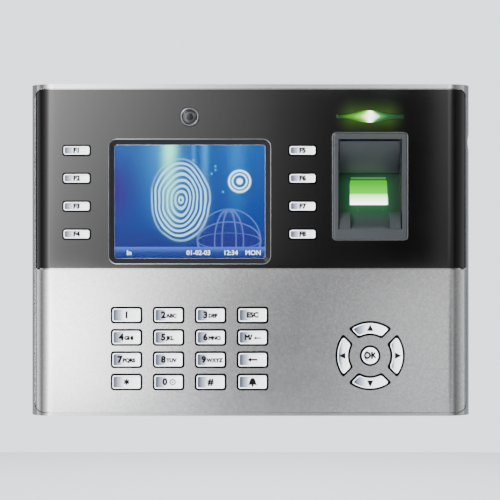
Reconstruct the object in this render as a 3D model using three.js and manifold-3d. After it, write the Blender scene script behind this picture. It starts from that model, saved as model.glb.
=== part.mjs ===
// Wall-mounted fingerprint terminal: a rolled-edge case with a colour screen, a camera, function
// keys, a keypad, an arrow pad and a recessed finger bay, hung on a steel plate.
// Millimetres, +Z up. The origin is on the wall plane at mid width and mid height, and the front
// faces -Y.
import * as THREE from "three";
import { mergeVertices } from "three/addons/utils/BufferGeometryUtils.js";
import Module from "manifold-3d";

const wasm = await Module();
wasm.setup();

// ---------------------------------------------------------------- driving dimensions

// Case
const WIDTH = 205;
const HEIGHT = 154;
const DEPTH = 38; // wall plane to fascia face
const EDGE_ROLL = 11; // radius of the rolled left and right edges
const GAP = 0.3; // clearance between neighbouring pieces
const FASCIA = 1.6; // thickness of the two front panels
const FASCIA_MARGIN = { side: 2.1, top: 2.4, bottom: 1.75 };
const FASCIA_CORNER = 4;
const FASCIA_SEAM = 0.45; // dark line round the front panels
const POCKET_BEHIND = 0.462; // back edges of the front panels to the pocket they lie in
const PANEL_SPLIT_Z = -8.8; // line between the upper and lower panel
const PANEL_SPLIT_GAP = 0.6;
const SHELL_WALL = 2;
const REAR_HOUSING_DEPTH = 18.2;
const REAR_STEP = 0.5; // how far the rear housing stands inside the front housing's outline
const REAR_WALL = 2.2;
const REAR_CHAMFER = 3;
const REAR_STANDOFF = 0.5; // rear housing to wall plane
const LOCATING_RIB = { thick: 1.2, high: 2 };
const EDGE_NOTCH = { z: 50.4, radius: 10.3, deep: 0.87 };

// Keys
const KEY_PROUD = 1;
const KEY_BEVEL = 0.35;
const KEY_FLANGE = 0.8;
const KEY_OVERHANG = 1.2; // flange past the cap
const KEY_TRAVEL = 0.8;
const DOME_CLEARANCE = 0.2; // dome top to a key pressed home
const DOME_HEIGHT = 1.1;
const DOME_RADIUS = 2.2;
const FUNCTION_KEY = { width: 12.2, height: 4.2, corner: 1, gap: 0.45, pitch: 12.95, count: 4 };
const FUNCTION_COLUMN = 52.43; // screen centre to a column of function keys
const FUNCTION_RISE = 4.23; // middle of a column above the screen centre
const PAD_KEY = { width: 13.3, height: 6.4, corner: 1, gap: 0.62, pitchX: 19.5, pitchZ: 10.35 };
const PAD_DROP = 68.3; // keypad centre below the screen centre
const ARROW_KEY = { inner: 10.3, outer: 15.2, end: 2.6, corner: 1, gap: 0.8 };
const OK_KEY = { radius: 3.97, gap: 0.73 };
const NAV_Z = -49.05;

// Screen and camera
const SCREEN = { x: -28.3, z: 22.55 };
const BEZEL = { width: 75.6, height: 58.3, corner: 3.9, rim: 0.15, slope: 2.5, slopeDepth: 1.4 };
const WINDOW = { width: 72.5, height: 54.7, thick: 0.8, corner: 1.5 };
const DISPLAY = { width: 76.9, height: 63.9, thick: 3.3, drop: 2, recess: 0.3 };
const CAMERA_RISE = 39.35; // camera axis above the screen centre
const CAMERA = { hole: 4.8, ring: 4.35, bore: 3.55, throat: 2.6, lens: 3.25, barrel: 2.2 };
const CAMERA_BOX = 8.4;
const RING_LEDGE = 1.2; // ring's front to the ledge that the lens sits over
const LENS = { edge: 0.45, dome: 0.35, shoulder: 0.7 }; // shoulder: share of the dome at half radius

// Finger bay and indicator
const RIGHT_X = 55.5; // centre line of the indicator, finger bay and arrow pad
const BAY_FRAME = { width: 34.7, low: 4.76, high: 54.5, corner: 1.7, proud: 0.8, bevel: 0.7 };
const BAY_MOUTH = { width: 29.6, low: 9.6, high: 51.5 };
const BAY_WALL = 1.5;
const TUB_CORNER = 0.3;
const BAY_LIP = 1.5; // ceiling starts this far behind the fascia face
const BAY_DEEP = { behind: 14.1, z: 36.2 }; // inner corner, behind the fascia face
const BAY_RAMP = { behind: 5, z: 15.85, width: 18.1 }; // where the floor turns into the ramp
const RAMP_SAG = { y: 1.5, z: 1.2 }; // how far the ramp's curve hangs below a straight line
const BAY_GUIDE = { behind: 2.8, z: 17.7 };
const SENSOR_GLASS = { width: 17.4, height: 12.4, thick: 3.5, proud: 0.25, z: 27.07 };
const SENSOR_BLOCK = { width: 26, low: 11, high: 9.5, thick: 8 };
const INDICATOR = { z: 62.05, reach: 14.75, tip: 0.9, bulge: 1.55, proud: 0.2, flange: 0.8 };

// Boards and silicone mats
const BOARD = 1.6;
const SINK = 0.5; // how far a part on a board runs into it
const LAMP = { width: 5, height: 3, high: 1.5 }; // behind the indicator
const MAT = 1;
const COLUMN_MAT = { width: 10, past: 6 }; // past the first and last dome
const KEYPAD_MAT_PAST = 7.5;
const KEY_BOARD = { insetX: 16.5, insetZ: 9, bayMargin: 1.65 }; // inside the case's outline
const KEY_BOARD_POST = { insetX: 22.5, insetZ: 12.5, radius: 2.5, pin: 1 };
const MAIN_BOARD = { left: -78, right: 36, low: -57, high: 47, behindSplit: 1.2 };
const MAIN_BOARD_POST = { inset: 4, radius: 2.5, pin: 1.2 };

// Sockets that face the wall
const SOCKETS_Z = -20;
const SOCKET_REAR = 3; // socket faces to wall plane
const NETWORK = { x: -24, width: 16, height: 14, portX: 11.8, portZ: 8.2, portDeep: 11 };
const POWER = { x: -46, width: 9, height: 11, bore: 3, pin: 1, deep: 9 };
const TERMINALS = { x: 9.5, width: 48, height: 12, ways: 10, wire: 3, deep: 6 };
const TERMINAL_SCREW = { rise: 3, deep: 1.5, wireDrop: 2.5 }; // from the middle of the block
const SOCKET_CLEARANCE = 0.5;

// Wall plate
const PLATE = { thick: 1.5, width: 140, low: -73, high: 45, corner: 4 };
const PLATE_POCKET = { side: 1, top: 1.5, deep: 1.9 };
const PLATE_WINDOW = { width: 120, height: 32, corner: 4 };
const KEYHOLE = { x: 55, high: 25, low: -55, head: 4, slot: 2.2, rise: 8 };
const HOOK = { x: 50, width: 10, neck: 1.5, lip: 1.2, low: 35.7, catch: 3.5 };
const TONGUE = { width: 16, reach: 12, thick: 1.5 };
const TONGUE_BLOCK = { width: 22, reach: 15, high: 4.4 };

// Screws
const CASE_SCREW = { insetX: 11.5, insetZ: 9.5, head: 2.75, headHigh: 2, shank: 1.45, tip: 26, seat: 12 };
const SCREW_BOSS = { front: 3.5, rear: 4.6 };
const PILOT = 1.8;
const PLATE_SCREW = { head: 2.7, headHigh: 1.2, shank: 1.4, length: 5 };
const RECESS = { long: 3, wide: 0.7, deep: 0.9 };

// Side socket, its cover, and the speaker
const USB = { z: 38.5, y: -10.05, portZ: 12.5, portY: 5.1, shell: 0.3, long: 14, portDeep: 12 };
const USB_TONGUE = { wide: 10.4, thick: 1.8, offset: 1, reach: 10 };
const USB_BOARD = { long: 18, setback: 1.5, wide: 18, sink: 0.1 };
const COVER = { width: 10.5, height: 15, thick: 1, rear: 4.8, plug: 1, plugY: 5.3, plugZ: 12.7 };
const SPEAKER = { x: 57, y: -11.2, width: 36, depth: 12, high: 5, slots: 8, pitch: 4, slot: 2 };
const SPEAKER_SLOT_LONG = 9;
const SPEAKER_RIM = { wide: 1.5, high: 1, flat: 0.2 }; // flat: straight part of its round ends

// ---------------------------------------------------------------- levels along Y

const FRONT_Y = -DEPTH;
const WALL_FRONT_Y = FRONT_Y + FASCIA + GAP;
const WALL_BACK_Y = WALL_FRONT_Y + SHELL_WALL;
const FLANGE_FRONT_Y = WALL_BACK_Y + GAP;
const FLANGE_BACK_Y = FLANGE_FRONT_Y + KEY_FLANGE;
const DOME_TOP_Y = FLANGE_BACK_Y + KEY_TRAVEL + DOME_CLEARANCE;
const MAT_FRONT_Y = DOME_TOP_Y + DOME_HEIGHT;
const BOARD_FRONT_Y = MAT_FRONT_Y + MAT + GAP;
const BOARD_BACK_Y = BOARD_FRONT_Y + BOARD;
const REAR_FACE_Y = -REAR_STANDOFF;
const REAR_FRONT_Y = REAR_FACE_Y - REAR_HOUSING_DEPTH;
const SPLIT_Y = REAR_FRONT_Y - GAP;
const MAIN_FRONT_Y = REAR_FRONT_Y + MAIN_BOARD.behindSplit;
const MAIN_BACK_Y = MAIN_FRONT_Y + BOARD;
const PAN_FACE_Y = REAR_FACE_Y - PLATE_POCKET.deep;
const PAN_INNER_Y = PAN_FACE_Y - REAR_WALL;
const SOCKET_FRONT_Y = MAIN_BACK_Y + GAP;
const PAST = 5; // how far a cutting tool runs past the faces it opens

// ---------------------------------------------------------------- solid tools

function solid(geometry) {
  const soup = geometry.index ? geometry.toNonIndexed() : geometry;
  soup.deleteAttribute("normal");
  soup.deleteAttribute("uv");
  const welded = mergeVertices(soup, 1e-4);
  return new wasm.Manifold(
    new wasm.Mesh({
      numProp: 3,
      vertProperties: welded.attributes.position.array,
      triVerts: new Uint32Array(welded.index.array),
    }),
  );
}

function geometryOf(shape) {
  const mesh = shape.getMesh();
  const geometry = new THREE.BufferGeometry();
  geometry.setAttribute("position", new THREE.BufferAttribute(mesh.vertProperties, 3));
  geometry.setIndex(new THREE.BufferAttribute(mesh.triVerts, 1));
  geometry.computeVertexNormals();
  return geometry;
}

const join = (...shapes) => shapes.flat().reduce((whole, shape) => whole.add(shape));
const cut = (base, ...tools) => base.subtract(join(...tools));

function box([x0, x1], [y0, y1], [z0, z1]) {
  const geometry = new THREE.BoxGeometry(x1 - x0, y1 - y0, z1 - z0);
  return solid(geometry.translate((x0 + x1) / 2, (y0 + y1) / 2, (z0 + z1) / 2));
}

const about = (centre, size) => [centre - size / 2, centre + size / 2];
const grown = ([low, high], by) => [low - by, high + by];

// An outline drawn in X and Z, run from yFront back to yBack. Both end edges can be bevelled.
function slab(outline, yFront, yBack, { steps = 2, bevel = 0, bevelDepth = bevel } = {}) {
  const geometry = new THREE.ExtrudeGeometry(outline, {
    depth: yBack - yFront - 2 * bevelDepth,
    curveSegments: steps / 2,
    bevelEnabled: bevel > 0,
    bevelSize: bevel,
    bevelOffset: -bevel,
    bevelThickness: bevelDepth,
    bevelSegments: 1,
  });
  return solid(geometry.rotateX(Math.PI / 2).translate(0, yBack - bevelDepth, 0));
}

// An outline drawn in X and Y, run up from zLow to zHigh.
function column(outline, zLow, zHigh, steps = 4) {
  const options = { depth: zHigh - zLow, curveSegments: steps / 2, bevelEnabled: false };
  return solid(new THREE.ExtrudeGeometry(outline, options).translate(0, 0, zLow));
}

// A section drawn as [y, z] points, run along X.
function section(points, [x0, x1]) {
  const outline = new THREE.Shape(points.map(([y, z]) => new THREE.Vector2(y, z)));
  const geometry = new THREE.ExtrudeGeometry(outline, { depth: x1 - x0, bevelEnabled: false });
  const turn = new THREE.Matrix4().makeBasis(
    new THREE.Vector3(0, 1, 0),
    new THREE.Vector3(0, 0, 1),
    new THREE.Vector3(1, 0, 0),
  );
  return solid(geometry.applyMatrix4(turn).translate(x0, 0, 0));
}

// A turned piece: [radius, y] points about an axis along Y through (x, z).
function turned(profile, x, z, segments = 24) {
  const points = profile.map(([radius, y]) => new THREE.Vector2(radius, y));
  return solid(new THREE.LatheGeometry(points, segments).translate(x, 0, z));
}

const disc = (radius, yFront, yBack, x, z, segments = 16) =>
  turned([[0, yFront], [radius, yFront], [radius, yBack], [0, yBack]], x, z, segments);

// ---------------------------------------------------------------- outlines

function roundedRectangle(x, z, width, height, corner) {
  const reachX = width / 2 - corner;
  const reachZ = height / 2 - corner;
  const outline = new THREE.Shape();
  outline.absarc(x + reachX, z + reachZ, corner, 0, Math.PI / 2);
  outline.absarc(x - reachX, z + reachZ, corner, Math.PI / 2, Math.PI);
  outline.absarc(x - reachX, z - reachZ, corner, Math.PI, 1.5 * Math.PI);
  outline.absarc(x + reachX, z - reachZ, corner, 1.5 * Math.PI, 2 * Math.PI);
  return outline;
}

function spindle(x, z, grow) {
  const steps = 8;
  const tip = INDICATOR.tip + grow;
  const edge = Array.from({ length: steps + 1 }, (_, step) => {
    const along = INDICATOR.reach * (1 - (2 * step) / steps);
    const swell = (1 + Math.cos((Math.PI * along) / INDICATOR.reach)) / 2;
    return [along, tip + INDICATOR.bulge * swell];
  });
  const outline = new THREE.Shape();
  outline.moveTo(x + edge[0][0], z + edge[0][1]);
  edge.forEach(([along, high]) => outline.lineTo(x + along, z + high));
  outline.absarc(x - INDICATOR.reach, z, tip, Math.PI / 2, 1.5 * Math.PI);
  edge.toReversed().forEach(([along, high]) => outline.lineTo(x + along, z - high));
  outline.absarc(x + INDICATOR.reach, z, tip, -Math.PI / 2, Math.PI / 2);
  return outline;
}

// A quarter of the arrow ring. Its ends run parallel to the diagonals beside it.
function arrowOutline(heading, grow) {
  const inner = ARROW_KEY.inner - grow;
  const outer = ARROW_KEY.outer + grow;
  const end = ARROW_KEY.end - grow;
  const corner = ARROW_KEY.corner;
  const onEnd = (side, radius, past) => {
    const diagonal = heading + (side * Math.PI) / 4;
    const across = diagonal - (side * Math.PI) / 2;
    const along = Math.sqrt(radius ** 2 - end ** 2) + past;
    return [
      RIGHT_X + along * Math.cos(diagonal) + end * Math.cos(across),
      NAV_Z + along * Math.sin(diagonal) + end * Math.sin(across),
    ];
  };
  const sweep = (radius) => Math.PI / 4 - Math.asin(end / radius) - corner / radius;
  const onArc = (angle, radius) => [
    RIGHT_X + radius * Math.cos(angle),
    NAV_Z + radius * Math.sin(angle),
  ];
  const outline = new THREE.Shape();
  outline.absarc(RIGHT_X, NAV_Z, outer, heading - sweep(outer), heading + sweep(outer), false);
  outline.quadraticCurveTo(...onEnd(1, outer, 0), ...onEnd(1, outer, -corner));
  outline.lineTo(...onEnd(1, inner, corner));
  outline.quadraticCurveTo(...onEnd(1, inner, 0), ...onArc(heading + sweep(inner), inner));
  outline.absarc(RIGHT_X, NAV_Z, inner, heading + sweep(inner), heading - sweep(inner), true);
  outline.quadraticCurveTo(...onEnd(-1, inner, 0), ...onEnd(-1, inner, corner));
  outline.lineTo(...onEnd(-1, outer, -corner));
  outline.quadraticCurveTo(...onEnd(-1, outer, 0), ...onArc(heading - sweep(outer), outer));
  return outline;
}

// The case's section in X and Y, with rolled front edges, moved inwards by inset.
function bar(inset, zLow = -HEIGHT / 2, zHigh = HEIGHT / 2) {
  const side = WIDTH / 2 - inset;
  const rollX = WIDTH / 2 - EDGE_ROLL;
  const rollY = FRONT_Y + EDGE_ROLL;
  const radius = EDGE_ROLL - inset;
  const outline = new THREE.Shape();
  outline.moveTo(side, SPLIT_Y);
  outline.lineTo(-side, SPLIT_Y);
  outline.absarc(-rollX, rollY, radius, Math.PI, 1.5 * Math.PI);
  outline.absarc(rollX, rollY, radius, 1.5 * Math.PI, 2 * Math.PI);
  return column(outline, zLow, zHigh, 8);
}

const fasciaOutline = (grow) => {
  const width = WIDTH - 2 * FASCIA_MARGIN.side;
  const height = HEIGHT - FASCIA_MARGIN.top - FASCIA_MARGIN.bottom;
  const z = (FASCIA_MARGIN.bottom - FASCIA_MARGIN.top) / 2;
  return roundedRectangle(0, z, width + 2 * grow, height + 2 * grow, FASCIA_CORNER + grow);
};

// ---------------------------------------------------------------- keys

const padKeyOutline = (x, z, key) => (grow) =>
  roundedRectangle(x, z, key.width + 2 * grow, key.height + 2 * grow, key.corner + grow);

const PAD_NAMES = [
  ["key_1", "key_2", "key_3", "key_esc"],
  ["key_4", "key_5", "key_6", "key_menu"],
  ["key_7", "key_8", "key_9", "key_back"],
  ["key_star", "key_0", "key_hash", "key_bell"],
];

function functionKeys() {
  return [-1, 1].flatMap((side, column) =>
    Array.from({ length: FUNCTION_KEY.count }, (_, row) => {
      const x = SCREEN.x + side * FUNCTION_COLUMN;
      const middle = (FUNCTION_KEY.count - 1) / 2;
      const z = SCREEN.z + FUNCTION_RISE + (middle - row) * FUNCTION_KEY.pitch;
      return {
        name: `key_f${column * FUNCTION_KEY.count + row + 1}`,
        dome: [x, z],
        outline: padKeyOutline(x, z, FUNCTION_KEY),
        gap: FUNCTION_KEY.gap,
      };
    }),
  );
}

function padKeys() {
  return PAD_NAMES.flatMap((names, row) =>
    names.map((name, column) => {
      const x = SCREEN.x + (column - (names.length - 1) / 2) * PAD_KEY.pitchX;
      const middle = (PAD_NAMES.length - 1) / 2;
      const z = SCREEN.z - PAD_DROP + (middle - row) * PAD_KEY.pitchZ;
      return { name, dome: [x, z], outline: padKeyOutline(x, z, PAD_KEY), gap: PAD_KEY.gap };
    }),
  );
}

function navigationKeys() {
  const middle = (ARROW_KEY.inner + ARROW_KEY.outer) / 2;
  const arrows = ["nav_right", "nav_up", "nav_left", "nav_down"].map((name, quarter) => {
    const heading = (quarter * Math.PI) / 2;
    return {
      name,
      dome: [RIGHT_X + middle * Math.cos(heading), NAV_Z + middle * Math.sin(heading)],
      outline: (grow) => arrowOutline(heading, grow),
      gap: ARROW_KEY.gap,
      steps: 6,
    };
  });
  const ok = {
    name: "key_ok",
    dome: [RIGHT_X, NAV_Z],
    outline: (grow) => new THREE.Shape().absarc(RIGHT_X, NAV_Z, OK_KEY.radius + grow, 0, 2 * Math.PI),
    gap: OK_KEY.gap,
    steps: 18,
  };
  return [...arrows, ok];
}

const KEYS = { function: functionKeys(), pad: padKeys(), navigation: navigationKeys() };
const UPPER_KEYS = KEYS.function;
const LOWER_KEYS = [...KEYS.pad, ...KEYS.navigation];

function keyCap({ outline, steps = 2 }) {
  const cap = slab(outline(0), FRONT_Y - KEY_PROUD, FLANGE_BACK_Y - KEY_FLANGE / 4, {
    steps,
    bevel: KEY_BEVEL,
  });
  return join(cap, slab(outline(KEY_OVERHANG), FLANGE_FRONT_Y, FLANGE_BACK_Y, { steps }));
}

const keyHoles = (keys) =>
  keys.map(({ outline, gap, steps = 2 }) => slab(outline(gap), FRONT_Y - PAST, SPLIT_Y, { steps }));

function mat(keys, [x0, x1], [z0, z1]) {
  const sheet = box([x0, x1], [MAT_FRONT_Y, MAT_FRONT_Y + MAT], [z0, z1]);
  const root = MAT_FRONT_Y + MAT / 2;
  const domes = keys.map(({ dome: [x, z] }) =>
    turned([[0, DOME_TOP_Y], [DOME_RADIUS / 2, DOME_TOP_Y], [DOME_RADIUS, root], [0, root]], x, z, 8),
  );
  return join(sheet, ...domes);
}

// ---------------------------------------------------------------- finger bay

const BAY_X = about(RIGHT_X, BAY_MOUTH.width);
const BAY_CORNER = [FRONT_Y + BAY_DEEP.behind, BAY_DEEP.z];
const BAY_FLOOR_END = [FRONT_Y + BAY_RAMP.behind, BAY_RAMP.z];
const FLOOR_TILT = Math.atan2(BAY_CORNER[0] - BAY_FLOOR_END[0], BAY_CORNER[1] - BAY_FLOOR_END[1]);
const BAY_FACE_Y = FRONT_Y - BAY_FRAME.proud;

// The ramp's hollow curve, from the floor's end forward and down to the mouth.
function rampPoints(steps = 5) {
  const end = [BAY_FACE_Y, BAY_MOUTH.low];
  const curve = new THREE.QuadraticBezierCurve(
    new THREE.Vector2(...BAY_FLOOR_END),
    new THREE.Vector2(BAY_FLOOR_END[0] - RAMP_SAG.y, (BAY_FLOOR_END[1] + end[1]) / 2 - RAMP_SAG.z),
    new THREE.Vector2(...end),
  );
  return curve.getPoints(steps).map((point) => [point.x, point.y]);
}

function bayHollow() {
  return section(
    [
      [FRONT_Y - PAST, BAY_MOUTH.high],
      [FRONT_Y + BAY_LIP, BAY_MOUTH.high],
      BAY_CORNER,
      ...rampPoints(),
      [FRONT_Y - PAST, BAY_MOUTH.low],
    ],
    BAY_X,
  );
}

function bayTub() {
  const [deepY, deepZ] = BAY_CORNER;
  const [floorY, floorZ] = BAY_FLOOR_END;
  const slope = Math.atan2(deepY - (FRONT_Y + BAY_LIP), BAY_MOUTH.high - deepZ);
  const ceiling = [BAY_WALL * Math.cos(slope), BAY_WALL * Math.sin(slope)];
  const floor = [BAY_WALL * Math.cos(FLOOR_TILT), -BAY_WALL * Math.sin(FLOOR_TILT)];
  const low = BAY_MOUTH.low - BAY_WALL;
  const high = BAY_MOUTH.high + BAY_WALL;
  const flangeY = WALL_FRONT_Y - GAP;
  return section(
    [
      [flangeY - BAY_WALL, high],
      [FRONT_Y + BAY_LIP + ceiling[0], high],
      [deepY + ceiling[0], deepZ + ceiling[1]],
      [deepY + floor[0], deepZ + floor[1]],
      [floorY + floor[0], floorZ + floor[1]],
      [floorY + floor[0] - BAY_WALL, low],
      [flangeY - BAY_WALL, low],
    ],
    about(RIGHT_X, BAY_MOUTH.width + 2 * BAY_WALL),
  );
}

const bayFrameOutline = (grow) =>
  roundedRectangle(
    RIGHT_X,
    (BAY_FRAME.low + BAY_FRAME.high) / 2,
    BAY_FRAME.width + 2 * grow,
    BAY_FRAME.high - BAY_FRAME.low + 2 * grow,
    BAY_FRAME.corner + grow,
  );

const bayTubOutline = (grow) =>
  roundedRectangle(
    RIGHT_X,
    (BAY_MOUTH.low + BAY_MOUTH.high) / 2,
    BAY_MOUTH.width + 2 * (BAY_WALL + grow),
    BAY_MOUTH.high - BAY_MOUTH.low + 2 * (BAY_WALL + grow),
    TUB_CORNER,
  );

const GLASS_Y =
  BAY_CORNER[0] - (BAY_CORNER[1] - SENSOR_GLASS.z) * Math.tan(FLOOR_TILT);

// A rectangle on the tilted floor, run from `front` to `back` along the floor's own depth.
function onFloor(width, [low, high], [front, back]) {
  const piece = new THREE.BoxGeometry(width, back - front, high - low);
  piece.translate(0, (front + back) / 2, (low + high) / 2);
  piece.rotateX(-FLOOR_TILT).translate(RIGHT_X, GLASS_Y, SENSOR_GLASS.z);
  return solid(piece);
}

const glassHalf = SENSOR_GLASS.height / 2;
const sensorGlass = (grow, depths) =>
  onFloor(SENSOR_GLASS.width + 2 * grow, [-glassHalf - grow, glassHalf + grow], depths);

function sensorBay() {
  const frame = slab(bayFrameOutline(0), BAY_FACE_Y, WALL_FRONT_Y - GAP, { bevel: BAY_FRAME.bevel });
  const guide = ([x0, x1]) =>
    section(
      [
        [BAY_FACE_Y + GAP, BAY_MOUTH.low - BAY_WALL / 2],
        [BAY_FACE_Y + GAP, BAY_MOUTH.low],
        [FRONT_Y + BAY_GUIDE.behind, BAY_GUIDE.z],
        [BAY_FLOOR_END[0] + BAY_WALL / 2, BAY_GUIDE.z],
        [BAY_FLOOR_END[0] + BAY_WALL / 2, BAY_FLOOR_END[1]],
        [FRONT_Y + BAY_LIP, BAY_MOUTH.low - BAY_WALL / 2],
      ],
      [x0, x1],
    );
  const shell = cut(join(frame, bayTub()), bayHollow());
  const ramp = BAY_RAMP.width / 2;
  const edge = BAY_MOUTH.width / 2 + BAY_WALL / 2;
  const guides = [guide([RIGHT_X - edge, RIGHT_X - ramp]), guide([RIGHT_X + ramp, RIGHT_X + edge])];
  return cut(join(shell, ...guides), sensorGlass(GAP, [-PAST, PAST]));
}

const sensorWindow = () =>
  sensorGlass(0, [-SENSOR_GLASS.proud, SENSOR_GLASS.thick - SENSOR_GLASS.proud]);

function sensorModule() {
  const front = BAY_WALL + GAP;
  const block = onFloor(
    SENSOR_BLOCK.width,
    [-SENSOR_BLOCK.low, SENSOR_BLOCK.high],
    [front, front + SENSOR_BLOCK.thick],
  );
  const seat = SENSOR_GLASS.thick - SENSOR_GLASS.proud + GAP;
  return cut(block, sensorGlass(GAP, [front - PAST, seat]));
}

// ---------------------------------------------------------------- screen, camera, indicator

const screenOutline = ({ width, height, corner }, grow = 0) =>
  roundedRectangle(SCREEN.x, SCREEN.z, width + 2 * grow, height + 2 * grow, corner + grow);

const VIEW = {
  width: BEZEL.width - 2 * (BEZEL.rim + BEZEL.slope),
  height: BEZEL.height - 2 * (BEZEL.rim + BEZEL.slope),
  corner: BEZEL.corner - BEZEL.rim - BEZEL.slope,
};

function screenBezel() {
  const back = WALL_FRONT_Y - GAP;
  const blank = slab(screenOutline(BEZEL, -GAP), FRONT_Y, back, { steps: 4 });
  const slopeEnd = FRONT_Y + BEZEL.slopeDepth;
  const mouth = screenOutline(BEZEL, -BEZEL.rim - GAP);
  const options = { steps: 4, bevel: BEZEL.slope - GAP, bevelDepth: BEZEL.slopeDepth };
  const funnel = slab(mouth, FRONT_Y - PAST, slopeEnd, options);
  return cut(blank, funnel, slab(screenOutline(VIEW), FRONT_Y - PAST, 0, { steps: 4 }));
}

const screenWindow = () =>
  slab(screenOutline(WINDOW), WALL_FRONT_Y, WALL_FRONT_Y + WINDOW.thick, { steps: 4 });

function displayModule() {
  const z = about(SCREEN.z - DISPLAY.drop, DISPLAY.height);
  const y = [FLANGE_FRONT_Y, FLANGE_FRONT_Y + DISPLAY.thick];
  const frame = box(about(SCREEN.x, DISPLAY.width), y, z);
  const view = slab(screenOutline(VIEW), FRONT_Y, FLANGE_FRONT_Y + DISPLAY.recess);
  return cut(frame, view);
}

const CAMERA_Z = SCREEN.z + CAMERA_RISE;
const RING_FRONT_Y = FRONT_Y + GAP;
const RING_LEDGE_Y = RING_FRONT_Y + RING_LEDGE;
const LENS_BACK_Y = RING_LEDGE_Y - GAP;

function cameraRing() {
  const flange = CAMERA.ring + KEY_OVERHANG;
  return turned(
    [
      [CAMERA.bore, RING_FRONT_Y],
      [CAMERA.ring, RING_FRONT_Y],
      [CAMERA.ring, FLANGE_FRONT_Y],
      [flange, FLANGE_FRONT_Y],
      [flange, FLANGE_BACK_Y],
      [CAMERA.throat, FLANGE_BACK_Y],
      [CAMERA.throat, RING_LEDGE_Y],
      [CAMERA.bore, RING_LEDGE_Y],
      [CAMERA.bore, RING_FRONT_Y],
    ],
    SCREEN.x,
    CAMERA_Z,
  );
}

function cameraLens() {
  const rim = LENS_BACK_Y - LENS.edge;
  return turned(
    [
      [0, rim - LENS.dome],
      [CAMERA.lens / 2, rim - LENS.shoulder * LENS.dome],
      [CAMERA.lens, rim],
      [CAMERA.lens, LENS_BACK_Y],
      [0, LENS_BACK_Y],
    ],
    SCREEN.x,
    CAMERA_Z,
  );
}

function cameraModule() {
  const back = BOARD_FRONT_Y - GAP;
  const front = FLANGE_BACK_Y + GAP;
  const body = box(about(SCREEN.x, CAMERA_BOX), [front, back], about(CAMERA_Z, CAMERA_BOX));
  return join(body, disc(CAMERA.barrel, RING_LEDGE_Y + GAP, back, SCREEN.x, CAMERA_Z));
}

function indicatorLens() {
  const front = FRONT_Y - INDICATOR.proud;
  const pipe = slab(spindle(RIGHT_X, INDICATOR.z, 0), front, FLANGE_BACK_Y, { steps: 4 });
  const flange = spindle(RIGHT_X, INDICATOR.z, INDICATOR.flange);
  return join(pipe, slab(flange, FLANGE_FRONT_Y, FLANGE_BACK_Y, { steps: 4 }));
}

// ---------------------------------------------------------------- front panels

function fasciaBlank(zLow, zHigh) {
  const sheet = bar(0, zLow, zHigh).subtract(bar(FASCIA));
  return sheet.intersect(slab(fasciaOutline(0), FRONT_Y - PAST, SPLIT_Y, { steps: 4 }));
}

function cameraHole() {
  const chamfer = CAMERA.hole - CAMERA.ring - GAP;
  return turned(
    [
      [0, FRONT_Y - PAST],
      [CAMERA.hole + PAST, FRONT_Y - PAST],
      [CAMERA.hole, FRONT_Y],
      [CAMERA.hole - chamfer, FRONT_Y + chamfer],
      [CAMERA.hole - chamfer, 0],
      [0, 0],
    ],
    SCREEN.x,
    CAMERA_Z,
  );
}

const indicatorHole = () =>
  slab(spindle(RIGHT_X, INDICATOR.z, GAP), FRONT_Y - PAST, SPLIT_Y, { steps: 4 });

function upperFascia() {
  return cut(
    fasciaBlank(PANEL_SPLIT_Z + PANEL_SPLIT_GAP / 2, HEIGHT / 2),
    slab(screenOutline(BEZEL), FRONT_Y - PAST, SPLIT_Y, { steps: 4 }),
    slab(bayFrameOutline(GAP), FRONT_Y - PAST, SPLIT_Y),
    cameraHole(),
    indicatorHole(),
    ...keyHoles(UPPER_KEYS),
  );
}

const lowerFascia = () =>
  cut(fasciaBlank(-HEIGHT / 2, PANEL_SPLIT_Z - PANEL_SPLIT_GAP / 2), ...keyHoles(LOWER_KEYS));

// ---------------------------------------------------------------- housings

const quadrants = (x, z) => [[x, z], [-x, z], [-x, -z], [x, -z]];
const SCREW_PLACES = quadrants(WIDTH / 2 - CASE_SCREW.insetX, HEIGHT / 2 - CASE_SCREW.insetZ);
const BOARD_POST_PLACES = quadrants(
  WIDTH / 2 - KEY_BOARD_POST.insetX,
  HEIGHT / 2 - KEY_BOARD_POST.insetZ,
);
const NOTCH_X = WIDTH / 2 - EDGE_NOTCH.deep + EDGE_NOTCH.radius;
const edgeNotch = () => disc(EDGE_NOTCH.radius, FRONT_Y - PAST, 0, NOTCH_X, EDGE_NOTCH.z, 48);

function frontShell() {
  const panelBackY = fasciaBlank(-HEIGHT / 2, HEIGHT / 2).boundingBox().max[1];
  const pocketBackY = panelBackY + POCKET_BEHIND;
  const pocket = slab(fasciaOutline(FASCIA_SEAM), FRONT_Y - PAST, pocketBackY, { steps: 4 });
  const wallInset = FASCIA + GAP;
  const cavityZ = HEIGHT / 2 - SHELL_WALL;
  const wide = WIDTH / 2 - SHELL_WALL;
  const cavity = bar(wallInset + SHELL_WALL, -cavityZ, cavityZ);
  const rear = [FRONT_Y + EDGE_ROLL, SPLIT_Y + PAST];
  const mouth = box([-wide, wide], rear, [-cavityZ, cavityZ]);
  return cut(bar(0), pocket.subtract(bar(wallInset)), cavity, mouth);
}

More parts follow.
